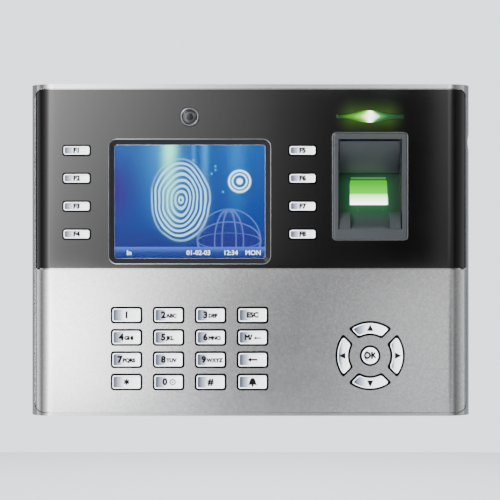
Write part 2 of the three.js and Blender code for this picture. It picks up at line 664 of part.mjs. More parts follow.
function frontHousing() {
  const wallMiddle = (WALL_FRONT_Y + WALL_BACK_Y) / 2;
  const behindPanels = bar(FASCIA + GAP);
  const bosses = SCREW_PLACES.map(([x, z]) =>
    disc(SCREW_BOSS.front, wallMiddle, SPLIT_Y, x, z).intersect(behindPanels),
  );
  const pilots = SCREW_PLACES.map(([x, z]) => disc(PILOT, -CASE_SCREW.tip - GAP, 0, x, z));
  const posts = BOARD_POST_PLACES.flatMap(([x, z]) => [
    disc(KEY_BOARD_POST.radius, wallMiddle, BOARD_FRONT_Y - GAP, x, z, 12),
    disc(KEY_BOARD_POST.pin, wallMiddle, BOARD_BACK_Y + 2 * GAP, x, z, 8),
  ]);
  const windowBackY = WALL_FRONT_Y + WINDOW.thick + GAP;
  return cut(
    join(frontShell(), ...bosses, ...posts),
    ...pilots,
    slab(screenOutline(WINDOW, GAP), FRONT_Y, windowBackY, { steps: 4 }),
    slab(screenOutline(VIEW), FRONT_Y, WALL_BACK_Y + PAST, { steps: 4 }),
    slab(bayTubOutline(GAP), FRONT_Y, SPLIT_Y),
    disc(CAMERA.ring + GAP, FRONT_Y, SPLIT_Y, SCREEN.x, CAMERA_Z, 24),
    indicatorHole(),
    ...keyHoles([...UPPER_KEYS, ...LOWER_KEYS]),
    edgeNotch(),
  );
}

const REAR_X = WIDTH / 2 - REAR_STEP;
const REAR_Z = HEIGHT / 2 - REAR_STEP;

const plateArea = (grow, { side, top }) => ({
  x: [-PLATE.width / 2 - side - grow, PLATE.width / 2 + side + grow],
  z: [PLATE.low - side - grow, PLATE.high + top + grow],
});

function rearShell() {
  const outline = roundedRectangle(0, 0, 2 * REAR_X, 2 * REAR_Z, REAR_CHAMFER + 1);
  const trimmed = 2 * REAR_CHAMFER;
  const block = slab(outline, REAR_FRONT_Y - trimmed, REAR_FACE_Y, { bevel: REAR_CHAMFER, steps: 4 });
  const insideX = REAR_X - REAR_WALL;
  const insideZ = REAR_Z - REAR_WALL;
  const front = box(
    [-WIDTH, WIDTH],
    [REAR_FRONT_Y - 2 * trimmed, REAR_FRONT_Y],
    [-HEIGHT, HEIGHT],
  );
  const inside = [REAR_FRONT_Y - PAST, REAR_FACE_Y - REAR_WALL];
  const cavity = box([-insideX, insideX], inside, [-insideZ, insideZ]);
  const pan = plateArea(REAR_WALL, PLATE_POCKET);
  const pocket = plateArea(0, PLATE_POCKET);
  const tray = box(pan.x, [PAN_INNER_Y, PAN_FACE_Y], [Math.max(pan.z[0], -REAR_Z + 1), pan.z[1]]);
  const tub = join(cut(block, front, cavity), tray);
  return cut(tub, box(pocket.x, [PAN_FACE_Y, PAST], pocket.z));
}

function locatingRib() {
  const outerX = WIDTH / 2 - SHELL_WALL - GAP;
  const outerZ = HEIGHT / 2 - SHELL_WALL - GAP;
  const innerX = outerX - LOCATING_RIB.thick;
  const innerZ = outerZ - LOCATING_RIB.thick;
  const y = [REAR_FRONT_Y - LOCATING_RIB.high, REAR_FRONT_Y + 1];
  const ring = box([-outerX, outerX], y, [-outerZ, outerZ]);
  return cut(ring, box([-innerX, innerX], [y[0] - 1, y[1] + 1], [-innerZ, innerZ]));
}

const SEAT_Y = -CASE_SCREW.seat;
const TONGUE_LOW = -REAR_Z + GAP;
const BLOCK_LOW = TONGUE_LOW + TONGUE.thick + GAP;
const SLOT_HIGH = HOOK.low + HOOK.neck + GAP;
const SLOT_LOW = SLOT_HIGH - HOOK.neck - HOOK.catch - 2 * GAP;

const boardPosts = () => {
  const { left, right, low, high } = MAIN_BOARD;
  const inset = MAIN_BOARD_POST.inset;
  return [left + inset, right - inset].flatMap((x) => [low + inset, high - inset].map((z) => [x, z]));
};

const SOCKETS = [
  { x: NETWORK.x, width: NETWORK.width, height: NETWORK.height },
  { x: POWER.x, width: POWER.width, height: POWER.height },
  { x: TERMINALS.x, width: TERMINALS.width, height: TERMINALS.height },
];

const USB_X = REAR_X - REAR_WALL - GAP;
const COVER_Y = [-COVER.rear - COVER.width, -COVER.rear];

function rearHousing() {
  const wall = REAR_FACE_Y - REAR_WALL / 2;
  const bosses = SCREW_PLACES.map(([x, z]) => disc(SCREW_BOSS.rear, REAR_FRONT_Y, wall, x, z));
  const wells = SCREW_PLACES.flatMap(([x, z]) => [
    disc(PILOT, REAR_FRONT_Y - PAST, 0, x, z),
    disc(CASE_SCREW.head + 1.5 * GAP, SEAT_Y, PAST, x, z),
  ]);
  const posts = boardPosts().flatMap(([x, z]) => [
    disc(MAIN_BOARD_POST.radius, MAIN_BACK_Y + GAP, PAN_INNER_Y + 1, x, z, 12),
    disc(MAIN_BOARD_POST.pin, MAIN_FRONT_Y - 2 * GAP, PAN_INNER_Y + 1, x, z, 8),
  ]);
  const socketHoles = SOCKETS.map(({ x, width, height }) =>
    box(
      about(x, width + 2 * SOCKET_CLEARANCE),
      [PAN_INNER_Y - 1, PAST],
      about(SOCKETS_Z, height + 2 * SOCKET_CLEARANCE),
    ),
  );
  const hookSlots = [-HOOK.x, HOOK.x].map((x) =>
    box(about(x, HOOK.width + 2 * GAP), [PAN_INNER_Y - 1, PAST], [SLOT_LOW, SLOT_HIGH]),
  );
  const block = box(
    about(0, TONGUE_BLOCK.width),
    [-TONGUE_BLOCK.reach, PAN_INNER_Y + 1],
    [BLOCK_LOW, BLOCK_LOW + TONGUE_BLOCK.high],
  );
  const tongueRecess = box(
    about(0, TONGUE.width + 2 * GAP),
    [-TONGUE.reach - GAP, PAST],
    [-REAR_Z - PAST, BLOCK_LOW],
  );
  const tongueNeck = box(
    about(0, TONGUE.width + 2 * GAP),
    [PAN_FACE_Y, PAST],
    [-REAR_Z - PAST, PLATE.low],
  );
  const tonguePilot = column(
    new THREE.Shape().absarc(0, -TONGUE.reach / 2, PILOT, 0, 2 * Math.PI),
    -REAR_Z,
    BLOCK_LOW + TONGUE_BLOCK.high + 1,
    16,
  );
  const coverRecess = box(
    [REAR_X - COVER.thick - GAP, REAR_X + PAST],
    grown(COVER_Y, GAP),
    about(USB.z, COVER.height + 2 * GAP),
  );
  const usbHole = box(
    [REAR_X - REAR_WALL - 1, REAR_X],
    about(USB.y, COVER.plugY + 2 * GAP),
    about(USB.z, COVER.plugZ + 2 * GAP),
  );
  const grille = Array.from({ length: SPEAKER.slots }, (_, slot) => {
    const x = SPEAKER.x + (slot - (SPEAKER.slots - 1) / 2) * SPEAKER.pitch;
    return box(
      about(x, SPEAKER.slot),
      about(SPEAKER.y, SPEAKER_SLOT_LONG),
      [-REAR_Z - 1, -REAR_Z + REAR_WALL + 1],
    );
  });
  return cut(
    join(rearShell(), locatingRib(), ...bosses, ...posts, block),
    ...wells,
    ...socketHoles,
    ...hookSlots,
    tongueRecess,
    tongueNeck,
    tonguePilot,
    coverRecess,
    usbHole,
    ...grille,
    edgeNotch(),
  );
}

// ---------------------------------------------------------------- wall plate

function wallPlate() {
  const height = PLATE.high - PLATE.low;
  const middle = (PLATE.high + PLATE.low) / 2;
  const face = -PLATE.thick;
  const sheet = slab(roundedRectangle(0, middle, PLATE.width, height, PLATE.corner), face, 0);
  const { width, height: windowHeight, corner } = PLATE_WINDOW;
  const window = roundedRectangle(0, SOCKETS_Z, width, windowHeight, corner);
  const keyholes = [-KEYHOLE.x, KEYHOLE.x].flatMap((x) =>
    [KEYHOLE.low, KEYHOLE.high].flatMap((z) => [
      disc(KEYHOLE.head, face - 1, 1, x, z),
      disc(KEYHOLE.slot, face - 1, 1, x, z + KEYHOLE.rise),
      box(about(x, 2 * KEYHOLE.slot), [face - 1, 1], [z, z + KEYHOLE.rise]),
    ]),
  );
  const lipBack = PAN_INNER_Y - 1.3 * GAP;
  const hooks = [-HOOK.x, HOOK.x].flatMap((x) => [
    box(about(x, HOOK.width), [lipBack - HOOK.lip, face / 2], [HOOK.low, HOOK.low + HOOK.neck]),
    box(about(x, HOOK.width), [lipBack - HOOK.lip, lipBack], [HOOK.low, SLOT_HIGH + HOOK.catch]),
  ]);
  const shelf = [TONGUE_LOW, TONGUE_LOW + TONGUE.thick];
  const tongue = [
    box(about(0, TONGUE.width), [face, 0], [TONGUE_LOW, PLATE.low + 1]),
    box(about(0, TONGUE.width), [-TONGUE.reach, 0], shelf),
  ];
  return cut(
    join(sheet, ...hooks, ...tongue),
    slab(window, face - 1, 1),
    ...keyholes,
    plateScrewBody(1.4 * GAP, 1),
  );
}

// Turned about an upright axis: the countersunk head is flush with the tongue's lower face.
function plateScrewBody(grow, past) {
  const flare = (PLATE_SCREW.head - PLATE_SCREW.shank) / PLATE_SCREW.headHigh;
  const profile = [
    [0, -past],
    [PLATE_SCREW.head + grow + past * flare, -past],
    [PLATE_SCREW.shank + grow, PLATE_SCREW.headHigh],
    [PLATE_SCREW.shank + grow, PLATE_SCREW.length + past],
    [0, PLATE_SCREW.length + past],
  ];
  const points = profile.map(([radius, y]) => new THREE.Vector2(radius, y));
  const screw = new THREE.LatheGeometry(points, 16).rotateX(Math.PI / 2);
  return solid(screw.translate(0, -TONGUE.reach / 2, TONGUE_LOW));
}

function plateScrew() {
  const low = TONGUE_LOW - 1;
  const high = TONGUE_LOW + RECESS.deep;
  const y = -TONGUE.reach / 2;
  return cut(
    plateScrewBody(0, 0),
    box(about(0, RECESS.long), about(y, RECESS.wide), [low, high]),
    box(about(0, RECESS.wide), about(y, RECESS.long), [low, high]),
  );
}

function caseScrew(x, z) {
  const headY = SEAT_Y + GAP;
  const topY = headY + CASE_SCREW.headHigh;
  const body = turned(
    [
      [0, -CASE_SCREW.tip],
      [CASE_SCREW.shank, -CASE_SCREW.tip + 1],
      [CASE_SCREW.shank, headY],
      [CASE_SCREW.head, headY],
      [CASE_SCREW.head, topY],
      [0, topY],
    ],
    x,
    z,
    12,
  );
  const recess = [topY - RECESS.deep, topY + 1];
  return cut(
    body,
    box(about(x, RECESS.long), recess, about(z, RECESS.wide)),
    box(about(x, RECESS.wide), recess, about(z, RECESS.long)),
  );
}

// ---------------------------------------------------------------- boards and sockets

function keyBoard() {
  const y = [BOARD_FRONT_Y, BOARD_BACK_Y];
  const panel = box(
    about(0, WIDTH - 2 * KEY_BOARD.insetX),
    y,
    about(0, HEIGHT - 2 * KEY_BOARD.insetZ),
  );
  const lightY = [BOARD_FRONT_Y - LAMP.high, BOARD_FRONT_Y + SINK];
  const light = box(about(RIGHT_X, LAMP.width), lightY, about(INDICATOR.z, LAMP.height));
  const pins = BOARD_POST_PLACES.map(([x, z]) =>
    disc(KEY_BOARD_POST.pin + GAP, FRONT_Y, 0, x, z, 8),
  );
  return cut(
    join(panel, light),
    slab(bayFrameOutline(KEY_BOARD.bayMargin), FRONT_Y, 0),
    ...pins,
  );
}

// Chips on the main board's front face: centre, size and height.
const CHIPS = [
  { x: -20, z: 12, width: 24, height: 24, high: 1.6 },
  { x: 12, z: 16, width: 14, height: 10, high: 1.2 },
  { x: 12, z: -2, width: 14, height: 10, high: 1.2 },
  { x: -56, z: 20, width: 12, height: 12, high: 3 },
  { x: -56, z: -36, width: 10, height: 10, high: 6 },
];

function mainBoard() {
  const { left, right, low, high } = MAIN_BOARD;
  const panel = box([left, right], [MAIN_FRONT_Y, MAIN_BACK_Y], [low, high]);
  const chips = CHIPS.map((chip) =>
    box(
      about(chip.x, chip.width),
      [MAIN_FRONT_Y - chip.high, MAIN_FRONT_Y + SINK],
      about(chip.z, chip.height),
    ),
  );
  const pins = boardPosts().map(([x, z]) =>
    disc(MAIN_BOARD_POST.pin + GAP, FRONT_Y, 0, x, z, 8),
  );
  return cut(join(panel, ...chips), ...pins);
}

const socketBody = ({ x, width, height }) =>
  box(about(x, width), [SOCKET_FRONT_Y, -SOCKET_REAR], about(SOCKETS_Z, height));

function networkJack() {
  const port = box(
    about(NETWORK.x, NETWORK.portX),
    [-SOCKET_REAR - NETWORK.portDeep, PAST],
    about(SOCKETS_Z, NETWORK.portZ),
  );
  return cut(socketBody(NETWORK), port);
}

function powerJack() {
  const floor = -SOCKET_REAR - POWER.deep;
  const well = disc(POWER.bore, floor, PAST, POWER.x, SOCKETS_Z);
  const pin = disc(POWER.pin, floor - 1, -SOCKET_REAR - 1, POWER.x, SOCKETS_Z, 8);
  return join(cut(socketBody(POWER), well), pin);
}

function terminalBlock() {
  const pitch = TERMINALS.width / TERMINALS.ways;
  const ways = Array.from({ length: TERMINALS.ways }, (_, way) => {
    const x = TERMINALS.x + (way - (TERMINALS.ways - 1) / 2) * pitch;
    const y = [-SOCKET_REAR - TERMINALS.deep, PAST];
    const wire = box(about(x, TERMINALS.wire), y, about(SOCKETS_Z - TERMINAL_SCREW.wireDrop, TERMINALS.wire));
    const head = -SOCKET_REAR - TERMINAL_SCREW.deep;
    const screw = disc(TERMINALS.wire / 2, head, PAST, x, SOCKETS_Z + TERMINAL_SCREW.rise, 8);
    return [wire, screw];
  });
  return cut(socketBody(TERMINALS), ...ways.flat());
}

function usbSocket() {
  const shellY = about(USB.y, USB.portY + 2 * USB.shell);
  const shell = box([USB_X - USB.long, USB_X], shellY, about(USB.z, USB.portZ + 2 * USB.shell));
  const portX = [USB_X - USB.portDeep, USB_X + 1];
  const port = box(portX, about(USB.y, USB.portY), about(USB.z, USB.portZ));
  const tongue = box(
    [USB_X - USB.portDeep - 1, USB_X - USB.portDeep + USB_TONGUE.reach],
    about(USB.y + USB_TONGUE.offset, USB_TONGUE.thick),
    about(USB.z, USB_TONGUE.wide),
  );
  const boardY = shellY[1] - USB_BOARD.sink;
  const boardEnd = USB_X - USB_BOARD.setback;
  const boardX = [boardEnd - USB_BOARD.long, boardEnd];
  const board = box(boardX, [boardY, boardY + BOARD], about(USB.z, USB_BOARD.wide));
  return join(cut(shell, port), tongue, board);
}

function usbCover() {
  const plate = box([REAR_X - COVER.thick, REAR_X], COVER_Y, about(USB.z, COVER.height));
  const plugX = [REAR_X - COVER.thick - COVER.plug, REAR_X - COVER.thick / 2];
  return join(plate, box(plugX, about(USB.y, COVER.plugY), about(USB.z, COVER.plugZ)));
}

function speaker() {
  const outline = (grow) =>
    roundedRectangle(
      SPEAKER.x,
      SPEAKER.y,
      SPEAKER.width + 2 * grow,
      SPEAKER.depth + 2 * grow,
      SPEAKER.depth / 2 + grow - SPEAKER_RIM.flat,
    );
  const low = -REAR_Z + REAR_WALL + GAP;
  const rim = column(outline(0), low, low + SPEAKER.high);
  return cut(rim, column(outline(-SPEAKER_RIM.wide), low - 1, low + SPEAKER_RIM.high));
}

// ---------------------------------------------------------------- assembly

const finish = (color, roughness, metalness = 0) =>
  new THREE.MeshStandardMaterial({ color, roughness, metalness });

const FINISHES = {
  silver: finish(0xb9bbbd, 0.45, 0.6),
  gloss: finish(0x0c0c0e, 0.12),
  slate: finish(0x3a4145, 0.35),
  dark: finish(0x1b1c1f, 0.4),
  cap: finish(0xdfe3ea, 0.25, 0.3),
  steel: finish(0x9a9c9e, 0.35, 0.9),
  glass: finish(0x10141c, 0.05),
  light: finish(0x9dffb0, 0.2),
  silicone: finish(0x6a6d70, 0.7),
  board: finish(0x1d5a34, 0.5),
  plastic: finish(0x242628, 0.55),
};

const terminal = new THREE.Group();

function place(name, shape, material) {
  const mesh = new THREE.Mesh(geometryOf(shape), FINISHES[material].clone());
  mesh.name = name;
  terminal.add(mesh);
}

place("front_housing", frontHousing(), "silver");
place("rear_housing", rearHousing(), "plastic");
place("upper_fascia", upperFascia(), "gloss");
place("lower_fascia", lowerFascia(), "silver");
place("screen_bezel", screenBezel(), "dark");
place("screen_window", screenWindow(), "glass");
place("lcd_module", displayModule(), "steel");
place("camera_ring", cameraRing(), "steel");
place("camera_lens", cameraLens(), "glass");
place("camera_module", cameraModule(), "dark");
place("indicator_lens", indicatorLens(), "light");
place("sensor_bay", sensorBay(), "slate");
place("sensor_window", sensorWindow(), "light");
place("sensor_module", sensorModule(), "dark");

[...UPPER_KEYS, ...LOWER_KEYS].forEach((key) => place(key.name, keyCap(key), "cap"));

const leftColumn = UPPER_KEYS.slice(0, FUNCTION_KEY.count);
const rightColumn = UPPER_KEYS.slice(FUNCTION_KEY.count);
const columnMat = (keys) => {
  const [x] = keys[0].dome;
  const [top, bottom] = [keys[0].dome[1], keys.at(-1).dome[1]];
  return mat(keys, about(x, COLUMN_MAT.width), grown([bottom, top], COLUMN_MAT.past));
};
place("function_mat_left", columnMat(leftColumn), "silicone");
place("function_mat_right", columnMat(rightColumn), "silicone");

const lowerDomes = LOWER_KEYS.map(({ dome }) => dome);
const spanOf = (axis) => {
  const values = lowerDomes.map((dome) => dome[axis]);
  return grown([Math.min(...values), Math.max(...values)], KEYPAD_MAT_PAST);
};
place("keypad_mat", mat(LOWER_KEYS, spanOf(0), spanOf(1)), "silicone");

place("key_board", keyBoard(), "board");
place("main_board", mainBoard(), "board");
place("speaker", speaker(), "dark");
place("terminal_block", terminalBlock(), "board");
place("network_jack", networkJack(), "steel");
place("power_jack", powerJack(), "dark");
place("usb_socket", usbSocket(), "steel");
place("usb_cover", usbCover(), "plastic");
place("wall_plate", wallPlate(), "steel");
place("plate_screw", plateScrew(), "steel");
SCREW_PLACES.forEach(([x, z], index) => place(`case_screw_${index + 1}`, caseScrew(x, z), "steel"));

export default terminal;
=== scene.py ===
# %% [markdown]
# # A fingerprint terminal, finished round a fixed frame
# The frame holds the designed solids: where every shell, key, board and screw is, and which of
# them move. This script gives them their looks. It measures the frame, models each visible piece
# finely in the same place, and gives every surface a procedural material.

# %% Load the frame
import math
import bmesh
import bpy
from mathutils import Matrix, Vector


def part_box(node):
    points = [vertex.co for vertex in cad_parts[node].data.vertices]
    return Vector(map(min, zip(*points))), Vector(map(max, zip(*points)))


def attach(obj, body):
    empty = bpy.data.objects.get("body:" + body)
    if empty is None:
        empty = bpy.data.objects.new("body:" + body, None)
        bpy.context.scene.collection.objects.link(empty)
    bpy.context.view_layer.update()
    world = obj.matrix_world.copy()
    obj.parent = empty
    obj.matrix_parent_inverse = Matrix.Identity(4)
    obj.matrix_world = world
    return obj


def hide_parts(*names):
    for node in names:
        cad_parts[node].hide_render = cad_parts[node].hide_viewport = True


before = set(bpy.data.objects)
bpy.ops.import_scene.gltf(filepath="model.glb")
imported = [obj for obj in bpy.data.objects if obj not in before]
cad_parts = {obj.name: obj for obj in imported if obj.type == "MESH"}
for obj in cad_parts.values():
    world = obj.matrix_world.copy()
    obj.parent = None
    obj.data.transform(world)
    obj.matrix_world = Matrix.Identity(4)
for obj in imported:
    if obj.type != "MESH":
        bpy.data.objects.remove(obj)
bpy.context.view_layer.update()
MM = 0.001

# %% [markdown]
# ## Sizes
# Most places come from the frame itself, by asking for a node's box. A few section sizes can't be
# read from a box, such as the roll of the case's edges, so they are named here once, in
# millimetres, as a drawing would list them.

# %% Shared sizes
EDGE_ROLL = 11
FASCIA = 1.6
GAP = 0.3
SHELL_WALL = 2
REAR_WALL = 2.2
SEAM = 0.45
FASCIA_CORNER = 4
KEY_OVERHANG = 1.2
NOTCH_RADIUS, NOTCH_DEEP, NOTCH_Z = 10.3, 0.87, 50.4
UP, SIDE, DEEP = 2, 0, 1


def box_mm(node):
    """A node's lowest and highest corners, in millimetres."""
    low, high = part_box(node)
    return [value / MM for value in low], [value / MM for value in high]


def middle_of(node):
    """The middle of a node's box, as seen from the front."""
    low, high = box_mm(node)
    return (low[SIDE] + high[SIDE]) / 2, (low[UP] + high[UP]) / 2


case_low, case_high = box_mm("front_housing")
upper_low, upper_high = box_mm("upper_fascia")
lower_low, lower_high = box_mm("lower_fascia")
bezel_low, bezel_high = box_mm("screen_bezel")
bay_low, bay_high = box_mm("sensor_bay")
rear_low, rear_high = box_mm("rear_housing")
plate_low, plate_high = box_mm("wall_plate")
FRONT, SPLIT = case_low[DEEP], case_high[DEEP]
TOOL_FRONT, TOOL_BACK = RANGE = (FRONT - 5, -19.0)
screen_x, screen_z = middle_of("screen_bezel")
print("screen centre", round(screen_x, 2), round(screen_z, 2), "front at", FRONT)

# %% [markdown]
# ## The view
# The terminal is seen straight on, as in a catalogue, so a long lens stands well back. The
# distance and the lens are tied together by the width of what should fit in the picture.

# %% Camera
VIEW_WIDTH = 232.15
CAMERA_DISTANCE = 870
bpy.ops.object.camera_add(location=(-0.26 * MM, (FRONT - CAMERA_DISTANCE) * MM, 0),
                          rotation=(math.pi / 2, 0, 0))
camera = bpy.context.object
camera.name = "catalogue_camera"
camera.data.sensor_width = 36
camera.data.lens = camera.data.sensor_width * CAMERA_DISTANCE / VIEW_WIDTH
camera.data.clip_end = 20
bpy.context.scene.camera = camera
print("lens", round(camera.data.lens, 1), "mm")

# %% [markdown]
# ## Modelling helpers
# Each helper is a move that a modeller makes by hand: add a cube between two corners, round some
# of its edges, draw an outline and push it out, turn a profile on an axis, cut one body with
# another. Keeping them small lets each piece below read as a short recipe.

# %% Helpers: selecting and placing


def take(piece):
    """Makes one piece the only selected and active object."""
    bpy.ops.object.select_all(action="DESELECT")
    piece.select_set(True)
    bpy.context.view_layer.objects.active = piece
    return piece


def pick(piece, kind, chosen):
    """Opens a piece in edit mode with only the faces or edges that `chosen` accepts selected."""
    take(piece)
    bpy.ops.object.mode_set(mode="EDIT")
    bpy.ops.mesh.select_mode(type=kind)
    bpy.ops.mesh.select_all(action="DESELECT")
    cage = bmesh.from_edit_mesh(piece.data)
    for part in {"FACE": cage.faces, "EDGE": cage.edges}[kind]:
        part.select_set(bool(chosen(part)))
    cage.select_flush_mode()
    bmesh.update_edit_mesh(piece.data)


def put_down():
    """Back to object mode."""
    bpy.ops.object.mode_set(mode="OBJECT")


def named(name):
    """Names the active object and its mesh, and moves its place into the mesh."""
    piece = bpy.context.object
    piece.name = piece.data.name = name
    bpy.ops.object.transform_apply(location=True, rotation=True, scale=True)
    return piece


def block(name, low, high):
    """A cube stretched between two corners, in millimetres."""
    bpy.ops.object.select_all(action="DESELECT")
    centre = [(a + b) / 2 * MM for a, b in zip(low, high)]
    bpy.ops.mesh.primitive_cube_add(size=1, location=centre)
    bpy.context.object.scale = [(b - a) * MM for a, b in zip(low, high)]
    return named(name)


# %% Helpers: edges and faces


def runs_along(axis):
    """Accepts edges parallel to an axis."""
    return lambda edge: abs((edge.verts[1].co - edge.verts[0].co).normalized()[axis]) > 0.999


def faces_towards(direction):
    """Accepts flat faces whose normal points in a direction."""
    return lambda face: face.normal.dot(Vector(direction)) > 0.99


def round_edges(piece, chosen, radius, segments=6):
    """Rounds the edges that `chosen` accepts."""
    pick(piece, "EDGE", chosen)
    bpy.ops.mesh.bevel(offset=radius * MM, offset_type="OFFSET", segments=segments,
                       affect="EDGES", clamp_overlap=False)
    put_down()
    return piece


def rounded_block(name, low, high, corner, segments=6, axis=DEEP):
    """A block whose four edges along one axis are rounded."""
    return round_edges(block(name, low, high), runs_along(axis), corner, segments)


# %% Helpers: outlines, turned pieces and cuts


def swept(start, bend, end, steps=12):
    """Points on a quadratic curve from start to end."""
    points = []
    for step in range(steps + 1):
        t = step / steps
        points.append(tuple((1 - t) ** 2 * a + 2 * t * (1 - t) * b + t * t * c
                            for a, b, c in zip(start, bend, end)))
    return points


def draw(name, points):
    """A chain of edges through points in millimetres, drawn by extruding one vertex."""
    bpy.ops.object.select_all(action="DESELECT")
    start = Vector(points[0]) * MM
    bpy.ops.mesh.primitive_plane_add(size=MM, location=start)
    piece = named(name)
    bpy.ops.object.mode_set(mode="EDIT")
    bpy.ops.mesh.select_mode(type="VERT")
    bpy.ops.mesh.select_all(action="SELECT")
    bpy.ops.mesh.merge(type="CENTER")
    for here, there in zip(points, points[1:]):
        step = (Vector(there) - Vector(here)) * MM
        bpy.ops.mesh.extrude_region_move(TRANSFORM_OT_translate={"value": step})
    bpy.ops.mesh.select_all(action="SELECT")
    return piece


def prism(name, points, push):
    """A drawn outline, filled and pushed out along a vector in millimetres."""
    piece = draw(name, points)
    bpy.ops.mesh.edge_face_add()
    bpy.ops.mesh.extrude_region_move(TRANSFORM_OT_translate={"value": Vector(push) * MM})
    bpy.ops.mesh.select_all(action="SELECT")
    bpy.ops.mesh.normals_make_consistent(inside=False)
    put_down()
    return piece


def turned(name, profile, x, z, steps=48):
    """A profile of (radius, y) points turned about an axis along Y through (x, z)."""
    piece = draw(name, [(x + radius, y, z) for radius, y in profile])
    bpy.ops.mesh.spin(steps=steps, angle=2 * math.pi, center=(x * MM, 0, z * MM), axis=(0, 1, 0))
    bpy.ops.mesh.select_all(action="SELECT")
    bpy.ops.mesh.remove_doubles(threshold=1e-7)
    bpy.ops.mesh.normals_make_consistent(inside=False)
    put_down()
    return piece


def drum(name, radius, y_front, y_back, x, z, steps=32):
    """A plain round tool for holes and bosses."""
    profile = [(0, y_front), (radius, y_front), (radius, y_back), (0, y_back)]
    return turned(name, profile, x, z, steps)


def apply(piece, modifier):
    """Applies a modifier, so that its result is the mesh."""
    take(piece)
    bpy.ops.object.modifier_apply(modifier=modifier.name)


def combine(piece, operation, *tools):
    """Joins, cuts or trims a piece with tools, which are used up."""
    for tool in tools:
        modifier = piece.modifiers.new(operation.lower(), "BOOLEAN")
        modifier.operation = operation
        modifier.solver = "EXACT"
        modifier.object = tool
        apply(piece, modifier)
        bpy.data.objects.remove(tool)
    return piece


def gathered(name, pieces):
    """Several separate bodies as one object."""
    take(pieces[0])
    for piece in pieces:
        piece.select_set(True)
    if len(pieces) > 1:
        bpy.ops.object.join()
    pieces[0].name = pieces[0].data.name = name
    return pieces[0]


def twin(piece, name, x=0, z=0):
    """A copy with its own mesh, moved across the front."""
    copy = piece.copy()
    copy.data = piece.data.copy()
    copy.name = copy.data.name = name
    bpy.context.scene.collection.objects.link(copy)
    copy.data.transform(Matrix.Translation((x * MM, 0, z * MM)))
    return copy


def soften(piece, width, segments=2, angle=32):
    """Breaks the sharp edges, then shades the flats flat and the rounds round."""
    take(piece)
    bpy.ops.object.mode_set(mode="EDIT")
    bpy.ops.mesh.select_all(action="SELECT")
    bpy.ops.mesh.remove_doubles(threshold=2e-6)
    put_down()
    if width:
        edges = piece.modifiers.new("soft edges", "BEVEL")
        edges.width = width * MM
        edges.segments = segments
        edges.limit_method = "ANGLE"
        edges.angle_limit = math.radians(angle)
        apply(piece, edges)
    take(piece)
    bpy.ops.object.shade_smooth_by_angle(angle=math.radians(angle + 8))
    normals = piece.modifiers.new("weighted normals", "WEIGHTED_NORMAL")
    normals.keep_sharp = True
    normals.weight = 100
    apply(piece, normals)
    return piece


def settle(piece, body, material, slot, *nodes):
    """Gives a finished piece its material, its body and the nodes it replaces. The slot is not
    used.
    """
    piece.data.materials.clear()
    piece.data.materials.append(material)
    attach(piece, body)
    if nodes:
        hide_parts(*nodes)
    print(f"{piece.name}: {len(piece.data.polygons)} faces, rides on {body}")
    return piece


# %% [markdown]
# ## Shader helpers
# A material here is a small graph, so three helpers keep it short: one adds a node and fills its
# sockets, one starts a material, and one starts a node group with its inputs and outputs.

# %% Helpers: nodes


def node(tree, kind, settings=None, **sockets):
    """Adds a node. A socket is named with underscores, and takes a value or another socket."""
    made = tree.nodes.new(kind)
    for key, value in (settings or {}).items():
        setattr(made, key, value)
    for key, value in sockets.items():
        place = int(key[1:]) if key[0] == "i" and key[1:].isdigit() else key.replace("_", " ")
        socket = made.inputs[place]
        if isinstance(value, bpy.types.NodeSocket):
            tree.links.new(value, socket)
        else:
            socket.default_value = value
    return made


def maths(tree, operation, *values):
    """A Math node on up to three values or sockets."""
    sockets = {f"i{index}": value for index, value in enumerate(values)}
    return node(tree, "ShaderNodeMath", {"operation": operation}, **sockets).outputs[0]


def times(tree, *values):
    """The product of several values."""
    product = values[0]
    for value in values[1:]:
        product = maths(tree, "MULTIPLY", product, value)
    return product


def measured(tree, value, centre, unit):
    """How many units a value lies past a centre."""
    return maths(tree, "DIVIDE", maths(tree, "SUBTRACT", value, centre), unit)


def length(tree, a, b):
    """The length of a step of a by b."""
    return maths(tree, "SQRT", maths(tree, "ADD", times(tree, a, a), times(tree, b, b)))


def rise(tree, value, start, end, low=0.0, high=1.0):
    """Runs from low to high while a value runs from start to end, and is level outside."""
    return node(tree, "ShaderNodeMapRange", Value=value, From_Min=start, From_Max=end,
                To_Min=low, To_Max=high).outputs[0]


def blend(tree, factor, low, high):
    """A colour mix."""
    return node(tree, "ShaderNodeMix", {"data_type": "RGBA"}, i0=factor, i6=low, i7=high).outputs[2]


def ramp(tree, value, *stops, smooth=False):
    """A colour ramp with (position, colour) stops."""
    made = node(tree, "ShaderNodeValToRGB", Fac=value)
    if smooth:
        made.color_ramp.interpolation = "EASE"
    elements = made.color_ramp.elements
    while len(elements) < len(stops):
        elements.new(1)
    for element, (position, colour) in zip(elements, stops):
        element.position = position
        element.color = (*colour, 1) if len(colour) == 3 else colour
    return made.outputs[0]


def principled(name, **sockets):
    """A new material. Returns it, its node tree and its Principled shader."""
    material = bpy.data.materials.new(name)
    material.use_nodes = True
    tree = material.node_tree
    tree.nodes.clear()
    shader = node(tree, "ShaderNodeBsdfPrincipled", **sockets)
    node(tree, "ShaderNodeOutputMaterial", Surface=shader.outputs[0])
    return material, tree, shader


def group(name, inputs, outputs):
    """A node group with float inputs {name: default} and outputs {name: socket type}."""
    tree = bpy.data.node_groups.new(name, "ShaderNodeTree")
    for key, value in inputs.items():
        socket = tree.interface.new_socket(key, in_out="INPUT", socket_type="NodeSocketFloat")
        socket.default_value = value
    for key, kind in outputs.items():
        tree.interface.new_socket(key, in_out="OUTPUT", socket_type=kind)
    return tree, tree.nodes.new("NodeGroupInput"), tree.nodes.new("NodeGroupOutput")


